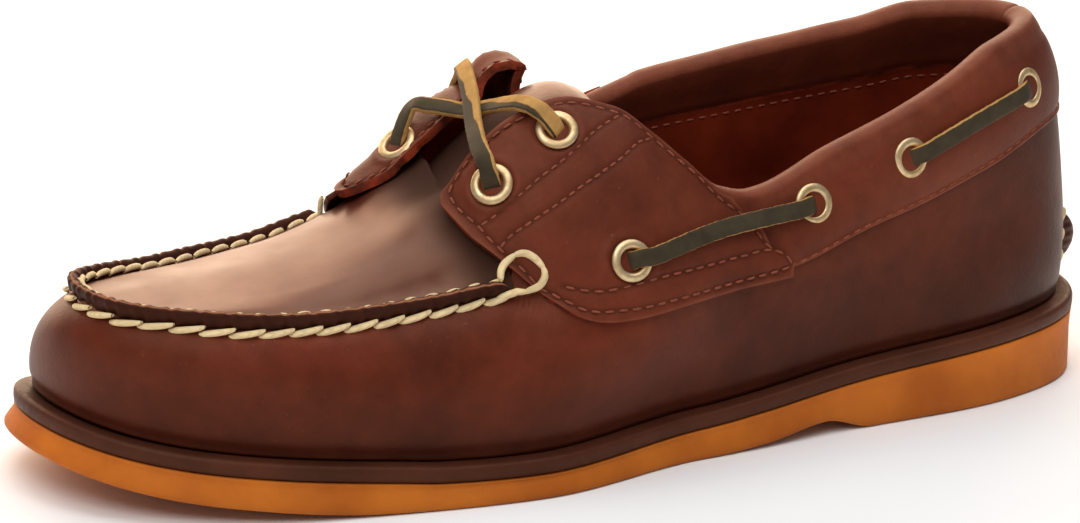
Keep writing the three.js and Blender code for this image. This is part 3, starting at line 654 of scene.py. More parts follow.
def rubber(name, base, dark, roughness, scuffs):
    """Moulded rubber: soft cloudy colour, fine pitting, darker towards the bottom, and small darker scuffs."""
    f = Finish(name)
    place = f.place()
    cloud = f.noise(place, 30, 4)
    speck = f.noise(place, 500, 3, 0.7)
    height = f.add("ShaderNodeSeparateXYZ", {}, {"Vector": place}, "Z")
    colour = f.mix(dark, base, f.span(cloud, 0.34, 0.6))
    colour = f.shade(colour, f.span(height, 0.0, 0.016, 0.82, 1.08))
    marks = f.span(f.noise(place, 170, 5, 0.75), 0.62, 0.7, 0.0, scuffs)
    colour = f.mix(colour, dark, marks)
    rough = f.span(speck, 0.3, 0.7, roughness - 0.08, roughness + 0.1)
    return f.surface(Base_Color=colour, Roughness=rough, Specular_IOR_Level=0.25, Specular_Tint=WAX_TINT,
                     Normal=f.relief(speck, 0.00018, 0.5))


def lining(name, dye, deep):
    """Smooth lining leather, rubbed darker in patches, with faint pores."""
    f = Finish(name)
    place = f.place()
    cloud = f.noise(place, 35, 4)
    pores = f.cells(place, 1500)
    colour = f.mix(deep, dye, f.span(cloud, 0.35, 0.62))
    return f.surface(Base_Color=colour, Roughness=f.span(cloud, 0.3, 0.7, 0.5, 0.62), Specular_IOR_Level=0.1,
                     Specular_Tint=WAX_TINT, Normal=f.relief(pores, 0.00006, 0.5))


def seam_lip_finish(name, leather_colour, edge_colour):
    """Dark leather with a raw pale edge where the edge number is high."""
    f = Finish(name)
    place = f.place()
    mottle = f.noise(place, 200, 4)
    fibre = f.noise(place, 1100, 3, 0.7)
    raw = f.span(f.attribute("edge") + (mottle - 0.5) * 0.9, 0.35, 0.75)
    colour = f.mix(f.shade((*leather_colour, 1), f.span(mottle, 0.3, 0.7, 0.7, 1.25)),
                   f.shade((*edge_colour, 1), f.span(fibre, 0.3, 0.7, 0.75, 1.15)), raw)
    return f.surface(Base_Color=colour, Roughness=f.span(raw, 0, 1, 0.55, 0.85), Specular_IOR_Level=0.15,
                     Specular_Tint=WAX_TINT, Normal=f.relief(fibre, 0.00025, 0.5))


def backdrop_white(name, shade):
    """Matt paper with the faintest tone change."""
    f = Finish(name)
    tone = f.noise(f.place(), 3, 2)
    colour = f.shade((*shade, 1), f.span(tone, 0.3, 0.7, 0.99, 1.0))
    return f.surface(Base_Color=colour, Roughness=0.9)


FINISHES = {}


def finish_of(key, context):
    """The finish of that name, made once from the settings' colours."""
    s = context.scene.boat_shoe
    makers = {
        "vamp": lambda: leather("vamp leather", s.vamp_colour, s.vamp_deep, s.worn_colour, roughness=0.42, shine=0.22,
                                wear=True, painted_shade_low_and_ends=True),
        "apron": lambda: leather("apron leather", s.apron_colour, s.vamp_deep, s.worn_colour, roughness=0.37, shine=0.8,
                                 grain=0.2, wear=True, painted_shade=True),
        "quarter": lambda: leather("quarter leather", s.vamp_colour, s.vamp_deep, s.worn_colour, roughness=0.45,
                                   shine=0.25),
        "saddle": lambda: leather("saddle leather", s.saddle_colour, s.saddle_deep, s.worn_colour, roughness=0.46,
                                  shine=0.2, wear=True, painted_shade=True),
        "tongue": lambda: leather("tongue leather", s.tongue_colour, s.vamp_deep, s.worn_colour, roughness=0.34,
                                  shine=0.7, painted_shade=True),
        "edge": lambda: cut_edge("saddle cut edge", s.edge_colour, s.saddle_deep),
        "pale_edge": lambda: cut_edge("seam cut edge", s.pale_edge_colour, s.lip_colour),
        "lip_edge": lambda: seam_lip_finish("seam lip leather", s.lip_colour, s.pale_edge_colour),
        "lining": lambda: lining("lining leather", s.lining_colour, s.lining_deep),
        "insole": lambda: lining("insole leather", s.lining_colour, s.lining_deep),
        "cream": lambda: thread("cream thread", s.cream_colour, s.cream_shadow),
        "tan": lambda: thread("tan thread", s.tan_colour, s.tan_shadow, twist=4200.0),
        "lace": lambda: rawhide("rawhide", s.lace_colour, s.suede_colour),
        "brass": lambda: brass("brass", s.brass_colour, s.brass_dark),
        "gum": lambda: rubber("gum rubber", s.gum_colour, s.gum_dark, roughness=0.6, scuffs=0.35),
        "midsole": lambda: rubber("brown midsole", s.midsole_colour, s.midsole_dark, roughness=0.5, scuffs=0.2),
    }
    if key not in FINISHES:
        FINISHES[key] = makers[key]()
    return FINISHES[key]


# --- Shapes shared between pieces -----------------------------------------------------------------------

# The collar band's stitch row: its rise at places along the shoe, and how far the band's edge lies below it.
BAND_ROW = through((
    [0, 0.048, 0.084, 0.113, 0.14, 0.167, 0.193, 0.218, 0.243, 0.267, 0.291, 0.316, 0.34, 0.373, 0.41],
    [1.475, 1.452, 1.407, 1.37, 1.347, 1.325, 1.3, 1.277, 1.258, 1.24, 1.21, 1.163, 1.108, 1.041, 1.0],
))
BAND_MARGIN = 0.034
# The saddles' outlines as (along, rise) places; the top edge follows the top line from front to rear.
SADDLE_TOP = {1: (0.666, 0.405), -1: (0.703, 0.405)}
SADDLE_REAR = [
    (0.376, 0.951), (0.376, 1.085), (0.38, 1.188), (0.391, 1.27), (0.391, 1.39), (0.389, 1.59),
    (0.397, 1.83), (0.405, 2.0),
]
SADDLE_FRONT = {
    1: [
        (0.604, 0.913), (0.615, 0.958), (0.624, 1.01), (0.639, 1.106), (0.653, 1.249), (0.665, 1.482),
        (0.669, 1.798), (0.67, 1.93), (0.666, 2.0),
    ],
    -1: [
        (0.604, 0.913), (0.618, 0.958), (0.632, 1.01), (0.652, 1.106), (0.676, 1.249), (0.692, 1.482),
        (0.705, 1.798), (0.707, 1.93), (0.703, 2.0),
    ],
}
SADDLE_FOOT = [
    (0.604, 0.913), (0.591, 0.888), (0.573, 0.892), (0.544, 0.925), (0.501, 0.952), (0.454, 0.952),
    (0.409, 0.95), (0.376, 0.951),
]
# The saddles' stitch rows as (along, rise) places, and the length of one stitch in each.
ROWS = {
    "low_outer": [
        (0.648, 1.273), (0.636, 1.144), (0.627, 1.055), (0.62, 1.036), (0.609, 0.997), (0.598, 0.955),
        (0.581, 0.95), (0.562, 0.975), (0.522, 1.0), (0.477, 1.005), (0.431, 1.008), (0.398, 1.02),
        (0.38, 1.045), (0.378, 1.09), (0.382, 1.188), (0.391, 1.27),
    ],
    "low_inner": [
        (0.609, 1.074), (0.594, 1.06), (0.577, 1.059), (0.558, 1.078), (0.539, 1.096), (0.518, 1.112),
        (0.496, 1.125), (0.473, 1.144), (0.45, 1.17), (0.425, 1.218), (0.405, 1.27), (0.391, 1.27),
    ],
    "front": [
        (0.6, 1.965), (0.612, 1.965), (0.624, 1.965), (0.64, 1.97), (0.652, 1.965), (0.659, 1.94),
        (0.661, 1.85), (0.66, 1.733), (0.656, 1.555), (0.654, 1.43), (0.65, 1.329), (0.648, 1.273),
    ],
    "top": [
        (0.6, 1.965), (0.57, 1.965), (0.535, 1.965), (0.505, 1.963), (0.472, 1.95), (0.444, 1.95),
        (0.425, 1.925), (0.413, 1.9), (0.401, 1.8), (0.396, 1.591), (0.396, 1.389), (0.391, 1.27),
    ],
    "diagonal_high": [
        (0.655, 1.557), (0.639, 1.555), (0.621, 1.594), (0.601, 1.645), (0.581, 1.688), (0.56, 1.749),
        (0.532, 1.851), (0.507, 1.955),
    ],
    "diagonal_low": [
        (0.65, 1.329), (0.639, 1.38), (0.621, 1.428), (0.593, 1.493), (0.573, 1.546), (0.552, 1.602),
        (0.527, 1.693), (0.495, 1.864), (0.482, 1.948),
    ],
}
ROW_PITCH = {
    "low_outer": 3.6, "low_inner": 3.6, "front": 3.4, "top": 3.6, "diagonal_high": 2.7, "diagonal_low": 2.7,
}
# Each eyelet's name, place along, rise on the outer and on the inner side, whether it is in the flap, and
# how much higher it sits on the inner side.
EYELETS = [
    ("front_upper", 0.573, 1.84, 1.6, True, 1.2),
    ("front_lower", 0.634, 1.735, 1.66, True, 0.35),
    ("side_1", 0.546, 1.19, 1.18, True, 0.0),
    ("side_2", 0.325, 1.68, 1.66, False, 0.0),
    ("side_3", 0.214, 1.7, 1.71, False, 0.0),
    ("side_4", 0.06, 1.72, 1.74, False, 0.0),
]
BAND_LIFT = 0.9


def flap_droop(along, rise, side):
    """How far the inner saddle's free edge hangs down into the throat: 11 mm at the top line's peak, 6 mm
    ahead of it and 3 mm at the front corner."""
    ahead = smooth(along, 0.53, 0.558) * (1 - 0.6 * smooth(along, 0.66, 0.72))
    peak = bump(along, 0.556, 0.013)
    hangs = 5.8 * smooth(rise, 1.6, 2.02) ** 1.3 + 5.5 * peak * smooth(rise, 1.78, 2.02)
    return hangs * (np.asarray(side) < 0) * ahead


def eyelet_places():
    """By side and name, each eyelet's middle and axis on the leather's outer face, its place along the shoe,
    its rise and its lift."""
    places = {}
    for side in (1, -1):
        for name, along, outer, inner, on_flap, curve in EYELETS:
            rise = outer if side > 0 else inner
            lift = float(flap_height(along, rise, side)) if on_flap else BAND_LIFT + 0.35
            lift += curve if side < 0 else 0.0
            if side < 0 and name == "front_lower":
                along, rise = along + 0.012, rise + 0.18
            point, normal = on_skin(np.array(along), np.array(rise), side, lift)
            if side < 0 and name.startswith("front"):
                point[2] -= flap_droop(along, rise, side)
                normal = unit(normal + np.array([0.0, 0.38, 0.0]))
            places[side, name] = (point, normal, along, rise, lift)
    return places


PLACES = eyelet_places()


def flap_row(rows, side):
    """A stitch row of the saddle as places on its outer face. The inner side's flap reaches further
    forward, so its rows move ahead with their rise."""
    line = soft_line(rows)
    if side < 0:
        reach = smooth(line[:, 0], 0.56, 0.66) * smooth(line[:, 1], 1.0, 1.9)
        line[:, 0] += 0.038 * reach
    rise = np.minimum(line[:, 1], 1.985)
    point, normal = on_skin(line[:, 0], rise, side, flap_height(line[:, 0], line[:, 1], side))
    point[:, 2] -= flap_droop(line[:, 0], rise, side)
    return point, normal


def collar_thickness(along, rise):
    """The upper's whole thickness: leather, and padding that grows towards the top line round the collar."""
    round_collar = smooth(0.52 - np.asarray(along, float), 0, 0.12)
    return LEATHER + COLLAR_PAD * round_collar * smooth(rise, 1.5, 2)


def ring_stations(count):
    """Turns and sides right round the shoe: out along the outer side and back along the inner one."""
    turn = np.linspace(0, np.pi, count, endpoint=False)
    return np.concatenate([turn, np.pi - turn]), np.repeat([1, -1], count)


def puckers(turn, side, rise):
    """Soft upright folds that the gathered seam draws into the leather: waves along the seam line that fade
    downwards, from the saddle to the toe."""
    x = SEAM_RING[1](turn)[0]
    wave = np.sin(x / 3.3 + 0.8 * np.sin(x / 17) + side) + 0.4 * np.sin(x / 1.9 + 2)
    where = smooth(along_at(turn), 0.66, 0.74) * smooth(rise, 0.62, 0.97) * (1 - 0.6 * bump(turn, np.pi, 0.25))
    return 0.16 * wave * where


# --- Operators ------------------------------------------------------------------------------------------

class ShoePiece:
    """What each operator shares."""

    bl_options = {"REGISTER", "UNDO"}


class BOATSHOE_OT_wall(ShoePiece, bpy.types.Operator):
    """Vamp, quarters and lining: one closed sheet from the sole to the seam at the toe and to the top line
    round the collar"""

    bl_idname = "boat_shoe.wall"
    bl_label = "Vamp, quarters and lining"

    def execute(self, context):
        turn, side = ring_stations(context.scene.boat_shoe.stations)
        along = along_at(turn)
        lowered = 0.42 * ((side < 0) * smooth(along, 0.52, 0.545))
        limit = 2 - lowered - (1 - lowered) * smooth(along, 0.6, 0.66)
        share = np.linspace(0, 1, 76)[:, None]
        rise = share * limit
        base = skin(turn, side, rise)
        normal = grid_normals(base, wrap_cols=True)
        relief = puckers(turn, side, rise)
        relief -= 0.5 * bump(rise, 0.04, 0.05)
        relief += 0.25 * np.sin(base[..., 0] / 9 + base[..., 2] / 14) * bump(along, 0.6, 0.12) * smooth(rise, 0.1, 0.5)
        outer = base + normal * relief[..., None]
        thickness = collar_thickness(along, rise)
        inner = (base - normal * thickness[..., None])[::-1]
        angle = np.linspace(0, np.pi, 9)[1:-1, None, None]
        up = unit(base[-1] - base[-2])
        middle, half = (outer[-1] + inner[0]) / 2, np.linalg.norm(outer[-1] - inner[0], axis=-1, keepdims=True) / 2
        roll = middle + half * (np.cos(angle) * normal[-1] + 0.5 * np.sin(angle) * up)
        grid = np.concatenate([outer, roll, inner])
        rows, cols = grid.shape[:2]
        faces = grid_faces(rows, cols, wrap_rows=True, wrap_cols=True)[:, ::-1]
        inside = (faces[:, 1] // cols) >= len(outer) + 3
        wear = np.zeros((rows, cols))
        wear[: len(outer)] = 0.10 * smooth(rise, 0.8, 1.0)
        piece = add_piece(
            "vamp_and_quarters", grid, faces, [finish_of("vamp", context), finish_of("lining", context)],
            inside.astype(int), {"wear": wear},
        )
        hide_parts("upper")
        return {"FINISHED"}


class BOATSHOE_OT_collar(ShoePiece, bpy.types.Operator):
    """The padded collar band: it laps over the quarters, swells between its lower edge and the top line,
    and rolls over into the shoe"""

    bl_idname = "boat_shoe.collar"
    bl_label = "Collar band"

    def execute(self, context):
        reach = float(turn_at(0.515))
        signed = np.linspace(-reach, reach, 420)
        turn, side = np.abs(signed), np.where(signed < 0, -1, 1)
        along = along_at(turn)
        edge = BAND_ROW(turn) - BAND_MARGIN
        share = np.concatenate([[0, 0.004, 0.012], np.linspace(0.024, 1, 46)])[:, None]
        rise = edge + (2 - edge) * share
        base = skin(turn, side, rise)
        normal = grid_normals(base)
        height = np.linalg.norm(np.diff(base, axis=0), axis=-1).cumsum(0)
        height = np.concatenate([np.zeros((1, len(turn))), height])
        full = height[-1]
        swell = np.sin(np.pi * np.clip((height - 2.5) / (full - 2.5), 0, 1) ** 0.85)
        relief = BAND_LIFT * smooth(height, -0.35, 0.45) - 0.3 * bump(height, 1.4, 0.6) + 1.2 * swell
        relief -= 0.7 * bump(base[..., 1], -0.3, 0.9) * (base[..., 0] < 40)
        relief -= 0.25 * bump(height, full - 4.5, 1.6)
        ripple = np.sin(np.sign(signed) * base[-1][:, 0] / 5.2 + 1.7 * np.sin(base[-1][:, 0] / 21))
        relief += 0.1 * ripple * smooth(height, 6, 14)
        relief = relief * (1 - smooth(along, 0.368, 0.385)) + 0.15 * smooth(along, 0.368, 0.385)
        outer = base + normal * relief[..., None]
        depth = np.linspace(0, 1, 16)[:, None]
        low = 2 - 0.42 * depth
        inside = skin(turn, side, low)
        inside_normal = grid_normals(inside[::-1])[::-1]
        inner = inside - inside_normal * (collar_thickness(along, low) + 0.7 * (1 - smooth(depth, 0.8, 1.0)))[..., None]
        up = unit(base[-1] - base[-2])
        angle = np.linspace(0, np.pi, 15)[1:-1, None, None]
        middle = (outer[-1] + inner[0]) / 2
        half = np.linalg.norm(outer[-1] - inner[0], axis=-1, keepdims=True) / 2
        roll = middle + half * np.cos(angle) * unit(outer[-1] - inner[0]) + 0.72 * half * np.sin(angle) * up
        grid = np.concatenate([outer, roll, inner])
        rows, cols = grid.shape[:2]
        faces = grid_faces(rows, cols, wrap_rows=True)[:, ::-1].tolist()
        faces.append((np.arange(rows) * cols).tolist())
        faces.append((np.arange(rows) * cols + cols - 1)[::-1].tolist())
        row_of = np.array([face[1] // cols for face in faces])
        cut = (row_of <= 1) | (row_of >= rows - 1)
        wear = np.zeros((rows, cols))
        wear[: len(outer)] = 0.55 * bump(height, 0.4, 0.5) + 0.22 * smooth(height, full - 6, full - 1)
        wear[len(outer): len(outer) + len(roll)] = 0.3
        piece = add_piece(
            "collar_band", grid, faces, [finish_of("saddle", context), finish_of("edge", context)],
            cut.astype(int), {"wear": wear},
        )
        return {"FINISHED"}


class BOATSHOE_OT_apron(ShoePiece, bpy.types.Operator):
    """The apron: the plug of leather inside the moccasin seam, bowed from seam to seam"""

    bl_idname = "boat_shoe.apron"
    bl_label = "Apron"

    def execute(self, context):
        turn = np.linspace(float(turn_at(0.648)), np.pi - 0.03, 160)[None, :]
        across = np.linspace(-1, 1, 121)[:, None]
        side = np.where(across < 0, -1, 1)
        distance = np.abs(across)
        rise = 1 + 2 * (1 - distance) ** 0.9
        base = skin(turn, side, rise)
        normal = unit(np.cross(np.gradient(base, axis=1), np.gradient(base, axis=0)))
        normal = np.where(normal[..., 2:] < 0, -normal, normal)
        x = base[..., 0]
        relief = 1.3 * smooth(distance, 0.9, 1.0)
        relief = relief - 0.35 * bump(distance, 0.86, 0.07)
        gather = np.sin(x / 1.6 + across * 3) * smooth(distance, 0.72, 0.97)
        relief = relief + 0.13 * gather * (1 - smooth(along_at(turn), 0.93, 1.0))
        relief = relief - 3.2 * (1 - smooth(along_at(turn), 0.645, 0.7)) * (1 - distance**4)
        grid = base + normal * relief[..., None]
        wear = 0.25 * smooth(distance, 0.9, 1.0) * np.ones_like(turn)
        # Painted shade: the apron turns dark and dull towards its back edge at the throat, under the saddles.
        painted_shade = (1 - smooth(along_at(turn), 0.665, 0.71)) * np.ones_like(across)
        piece = sheet("apron", grid[::-1], 1.8, [finish_of("apron", context), finish_of("pale_edge", context)],
                      {"wear": wear[::-1], "painted_shade": painted_shade[::-1]}, edge=0.2)
        return {"FINISHED"}


def seam_path(first_outer, last_inner):
    """The moccasin seam from the outer throat round the toe to the inner one: points, the direction in
    towards the apron and the direction up square to it, evenly spaced."""
    count = 900
    start, end = float(turn_at(first_outer)), float(turn_at(last_inner))
    run = np.linspace(start, 2 * np.pi - end, count)
    turn = np.minimum(run, 2 * np.pi - run)
    side = np.where(run <= np.pi, 1, -1)
    at = skin(turn, side, 1.0)
    inwards = unit(skin(turn, side, 1.08) - skin(turn, side, 0.94))
    inwards = unit(np.stack([np.convolve(np.pad(c, 8, "edge"), np.ones(17) / 17, "valid") for c in inwards.T], -1))
    up = unit(np.array([0.0, 0.0, 1.0]) - inwards * inwards[:, 2:])
    (at, inwards, up), length = resample(at, count, (inwards, up))
    return at, unit(inwards), unit(up), length


class BOATSHOE_OT_seam_lip(ShoePiece, bpy.types.Operator):
    """The pinched lip of the moccasin seam: two leather edges standing together, folded between stitches,
    with their pale cut edge on top"""

    bl_idname = "boat_shoe.seam_lip"
    bl_label = "Seam lip"

    def execute(self, context):
        at, inwards, up, length = seam_path(0.653, 0.722)
        run = np.linspace(0, length, len(at))
        angle = round_turns(20)
        fold = np.sin(2 * np.pi * run / 3.5 + 0.9 * np.sin(run / 13)) + 0.5 * np.sin(2 * np.pi * run / 2.3 + 1)
        ends = smooth(run, 0, 3) * smooth(length - run, 0, 3)
        width = (1.35 + 0.16 * fold)[:, None] * ends[:, None] ** 0.5
        height = (2.3 + 0.12 * fold)[:, None] * ends[:, None] ** 0.5
        cos, sin = np.cos(angle), np.sin(angle)
        across = width * np.sign(cos) * np.abs(cos) ** 0.75 - 0.25 * sin
        high = 1.9 + height * np.sign(sin) * np.abs(sin) ** 0.6 + 0.12 * np.sin(run / 5)[:, None]
        stand = unit(up + 0.35 * inwards)
        rings = swept(at, unit(inwards - 0.35 * up), stand, np.stack([across, high], -1))
        edge = smooth(sin, 0.93, 1.0) * np.ones((len(at), 1))
        piece = tube("seam_lip", rings, [finish_of("lip_edge", context)], {"edge": edge})
        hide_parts("moc_seam_bead")
        return {"FINISHED"}


class BOATSHOE_OT_seam_thread(ShoePiece, bpy.types.Operator):
    """The thick cream thread of the moccasin seam: slanting stitches outside the lip, stitches on the apron
    side that are large on the far part and small on the near one, an upright last stitch at the inner
    throat, and the loop over the outer saddle's edge, which runs on into the first outside stitch"""

    bl_idname = "boat_shoe.seam_thread"
    bl_label = "Seam thread"

    def execute(self, context):
        s = context.scene.boat_shoe
        cream = [finish_of("cream", context)]
        at, inwards, up, length = seam_path(0.655, 0.72)

        def evenly(count):
            """Where that many stitches lie along the seam: stops, middles and the directions in, up and on."""
            stops = (np.arange(count) + 0.5) * length / count
            (centre, inward, upward), _length = resample(at, stops, (inwards, up))
            return stops, centre, inward, upward, square_to(tangents(resample(at, stops - 0.01)[0][0]), inward)

        count = int(length / s.seam_pitch)
        _stops, centre, inward, upward, along = evenly(count)
        rng = np.random.default_rng(7)
        sway = rng.normal(0, 1, (count, 2))
        face = unit(upward * 0.55 - inward)
        rise = unit(np.cross(face, along))
        rise = np.where((rise * upward).sum(-1, keepdims=True) < 0, -rise, rise)
        middle = centre - inward * 2.2 + upward * 0.75 + sway[:, :1] * 0.12 * rise
        piece = grains("seam_thread_outside", middle, along, rise, face,
                       (s.seam_pitch * 1.36, s.seam_thread, s.seam_thread * 1.25), cream, sides=10, rings=9,
                       tilt=-0.27)
        count = int(length / INSIDE_PITCH)
        stops, centre, inward, upward, along = evenly(count)
        over = unit(upward + 0.5 * inward)
        wide = unit(np.cross(over, along))
        near_side = stops < 0.4 * length
        high = np.where(near_side, 2.45, 1.5)[:, None] + 0.12 * rng.normal(0, 1, (count, 1))
        laid = centre + inward * 2.35 + upward * high
        for label, chosen, size in (("far", ~near_side, (6.9, 1.6, 1.7)), ("near", near_side, (4.2, 1.1, 1.2))):
            piece = grains("seam_thread_inside_" + label, laid[chosen], along[chosen], wide[chosen], over[chosen],
                           size, cream, sides=8, rings=7, tilt=0.2)
        corner, facing = on_skin(np.array([0.7235]), np.array([1.38]), -1, 2.0)
        upright = np.array([[0.0, 0.0, 1.0]])
        piece = grains("seam_thread_last", corner, upright, unit(np.cross(facing, upright)), facing,
                       (6.6, 1.9, 1.9), cream, sides=10, rings=9, tilt=0.1)
        loop = soft_line([
            (0.66, 1.07), (0.656, 1.166), (0.65, 1.223), (0.64, 1.254), (0.631, 1.248), (0.624, 1.214),
            (0.621, 1.157), (0.623, 1.102), (0.628, 1.054), (0.637, 1.022), (0.646, 1.0),
        ], 300)
        line, normal = on_skin(loop[:, 0], loop[:, 1], 1, flap_height(loop[:, 0], loop[:, 1], 1) + 0.35)
        bridge = np.linspace(line[-1], middle[0], 30)[1:]
        line, normal = np.concatenate([line, bridge]), np.concatenate([normal, np.tile(normal[-1], (29, 1))])
        (path, facing), long = resample(line, 240, (normal,))
        facing = unit(facing)
        across = unit(np.cross(facing, tangents(path)))
        run = np.linspace(0, 1, len(path))
        waist = 0.55 + 0.45 * np.abs(np.sin(4 * np.pi * run)) ** 0.5
        ends = smooth(run, 0, 0.04) * smooth(1 - run, 0, 0.04)
        angle = round_turns(14)
        radius = (0.98 * waist * (0.2 + 0.8 * ends))[:, None]
        weave = 0.2 * np.sin(8 * np.pi * run)[:, None]
        section = np.stack([radius * np.cos(angle) + weave, radius * np.sin(angle)], -1)
        piece = tube("seam_thread_loop", swept(path, across, facing, section), cream)
        return {"FINISHED"}


class BOATSHOE_OT_saddles(ShoePiece, bpy.types.Operator):
    """The two saddles: thick flaps from the throat down to the waist, with raw edges, pressed down along
    their stitch rows and round their eyelets"""

    bl_idname = "boat_shoe.saddles"
    bl_label = "Saddles"

    def execute(self, context):
        for side in (1, -1):
            high, wide = 110, 190
            t = np.linspace(0, 1, high)[:, None]
            u = np.linspace(0, 1, wide)[None, :]
            front = soft_line(SADDLE_FRONT[side], high)[:, None]
            rear = soft_line(SADDLE_REAR, high)[:, None]
            foot = soft_line(SADDLE_FOOT, wide)[None]
            start, end = SADDLE_TOP[side]
            top = np.stack([start + (end - start) * u[0], np.full(wide, 2.0)], -1)[None]
            t, u = t[..., None], u[..., None]
            corners = ((1 - u) * (1 - t) * foot[:, :1] + u * (1 - t) * foot[:, -1:]
                       + (1 - u) * t * top[:, :1] + u * t * top[:, -1:])
            place = (1 - u) * front + u * rear + (1 - t) * foot + t * top - corners
            along, rise = place[..., 0], np.minimum(place[..., 1], 1.999)
            point, normal = on_skin(along, rise, side, flap_height(along, rise, side))
            point[..., 2] -= flap_droop(along, rise, side)
            rows = np.concatenate([flap_row(row, side)[0] for row in ROWS.values()])
            pressed = -0.28 * bump(near(point, rows[::3]), 0, 0.85)
            rings = np.array([PLACES[side, name][0] for name in ("front_upper", "front_lower", "side_1")])
            from_ring = near(point, rings)
            pressed += 0.45 * bump(from_ring, 6.6, 1.3) - 0.35 * bump(from_ring, 4.6, 1.4)
            swell = 0.22 * np.sin(point[..., 0] / 10 + 2) * np.sin(point[..., 2] / 8)
            grid = point + normal * (pressed + swell)[..., None]
            border = np.minimum(40 * np.minimum(t, 1 - t), 60 * np.minimum(u, 1 - u))[..., 0]
            wear = 0.45 * bump(border, 0, 0.9)
            # Painted shade along the saddle's pressed stitch rows.
            stitch_row_shade = 0.55 * bump(near(point, rows[::3]), 0, 0.75)
            way = slice(None, None, side)
            piece = sheet("saddle_" + SIDE_NAMES[side] + "_flap", grid[:, ::-1][:, way], SADDLE_LEATHER,
                          [finish_of("saddle", context), finish_of("edge", context)],
                          {"wear": wear[:, ::-1][:, way], "painted_shade": stitch_row_shade[:, ::-1][:, way]}, edge=0.3)
            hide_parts("saddle_" + SIDE_NAMES[side])
        return {"FINISHED"}


class BOATSHOE_OT_inner_quarter(ShoePiece, bpy.types.Operator):
    """The inner quarter under its saddle: a dark upright strip from the apron's side to the flap, ending in
    an upright front edge"""

    bl_idname = "boat_shoe.inner_quarter"
    bl_label = "Inner quarter"

    def execute(self, context):
        along = np.linspace(0.6, 0.717, 80)[None, :]
        t = np.linspace(0, 1, 24)[:, None]
        flap = flap_height(along, 1.8, -1) - 2.9
        high, _normal = on_skin(along, np.full_like(along, 1.8), -1, flap)
        high[..., 2] -= flap_droop(along, 1.8, -1)
        low, _normal = on_skin(along, np.full_like(along, 1.12), -1, 0.3)
        grid = low * (1 - t[..., None]) + high * t[..., None]
        grid[..., 1] -= 0.8 * np.sin(np.pi * t) + 0.15 * np.sin(along * 260)
        piece = sheet("inner_quarter", grid, 1.6, [finish_of("quarter", context)] * 2, None, edge=0.3)
        return {"FINISHED"}


def stitch_row(name, line, normal, pitch, size, materials, offset=0.0):
    """Stitches one after another along a line on the leather."""
    (path, facing), length = resample(line, 900, (normal,))
    count = max(1, int(length / pitch))
    stops = (np.arange(count) + 0.5) * length / count
    (centre, face), _length = resample(path, stops, (facing,))
    ahead = resample(path, np.minimum(stops + 0.4, length))[0][0]
    behind = resample(path, np.maximum(stops - 0.4, 0))[0][0]
    face = unit(face)
    along = square_to(unit(ahead - behind), face)
    return grains(name, centre + face * offset, along, np.cross(face, along), face, size, materials,
                  sides=6, rings=5)


class BOATSHOE_OT_stitches(ShoePiece, bpy.types.Operator):
    """The machine stitch rows: round and across the saddles, and along the collar band outside and in"""

    bl_idname = "boat_shoe.stitches"
    bl_label = "Machine stitches"

    def execute(self, context):
        tan = [finish_of("tan", context)]
        for side in (1, -1):
            for key, row in ROWS.items():
                line, normal = flap_row(row, side)
                pitch = ROW_PITCH[key]
                piece = stitch_row("stitches_" + key + "_" + SIDE_NAMES[side], line, normal, pitch,
                                   (pitch * 0.74, 0.72, 0.6), tan, -0.02)
        reach = float(turn_at(0.38))
        signed = np.linspace(-reach, reach, 700)
        turn, side = np.abs(signed), np.where(signed < 0, -1, 1)
        line, normal = on_skin(along_at(turn), BAND_ROW(turn) + 0.002, side, BAND_LIFT - 0.22)
        piece = stitch_row("stitches_collar_band", line, normal, pitch=3.7, size=(2.7, 0.72, 0.6), materials=tan)
        low = np.full_like(turn, 1.52)
        line, normal = on_skin(along_at(turn), low, side, 0)
        thick = collar_thickness(along_at(turn), low)[:, None]
        piece = stitch_row("stitches_lining", line - normal * (thick + 0.05), -normal, pitch=3.6, size=(2.5, 0.7, 0.6),
                           materials=tan)
        return {"FINISHED"}


class BOATSHOE_OT_tongue(ShoePiece, bpy.types.Operator):
    """The tongue: a bowed sheet from beneath the apron's back edge to above the throat"""

    bl_idname = "boat_shoe.tongue"
    bl_label = "Tongue"

    def execute(self, context):
        # Each station's place from the back of the heel, height of the middle, half width and drop at the edge.
        rows = np.array([
            (204, 58.6, 20, 5), (196, 63.4, 20.5, 6), (188, 70.2, 21, 7), (178, 79.2, 22, 9),
            (169, 86.4, 19, 8.5), (162, 89.6, 16.5, 6), (156.5, 90, 15.5, 5), (152, 88.3, 14, 4),
        ])
        x, crown, half, drop = (column[None, :] for column in soft_line(rows, 90).T)
        across = np.linspace(-1, 1, 61)[:, None]
        y = across * half
        z = crown - drop * np.abs(across) ** 2.2 + 0.25 * np.sin(x / 4.5 + 3 * across) * (1 - across**2)
        grid = np.stack(np.broadcast_arrays(x, y, z), -1)
        # Painted shadow: the tongue's front part, beneath the flaps and laces, is darker and duller.
        painted_shade = smooth(x, 165, 172) * np.ones_like(across)
        piece = sheet("tongue_leaf", grid, 2.0, [finish_of("tongue", context), finish_of("edge", context)],
                      {"painted_shade": painted_shade}, edge=0.5)
        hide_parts("tongue")
        return {"FINISHED"}


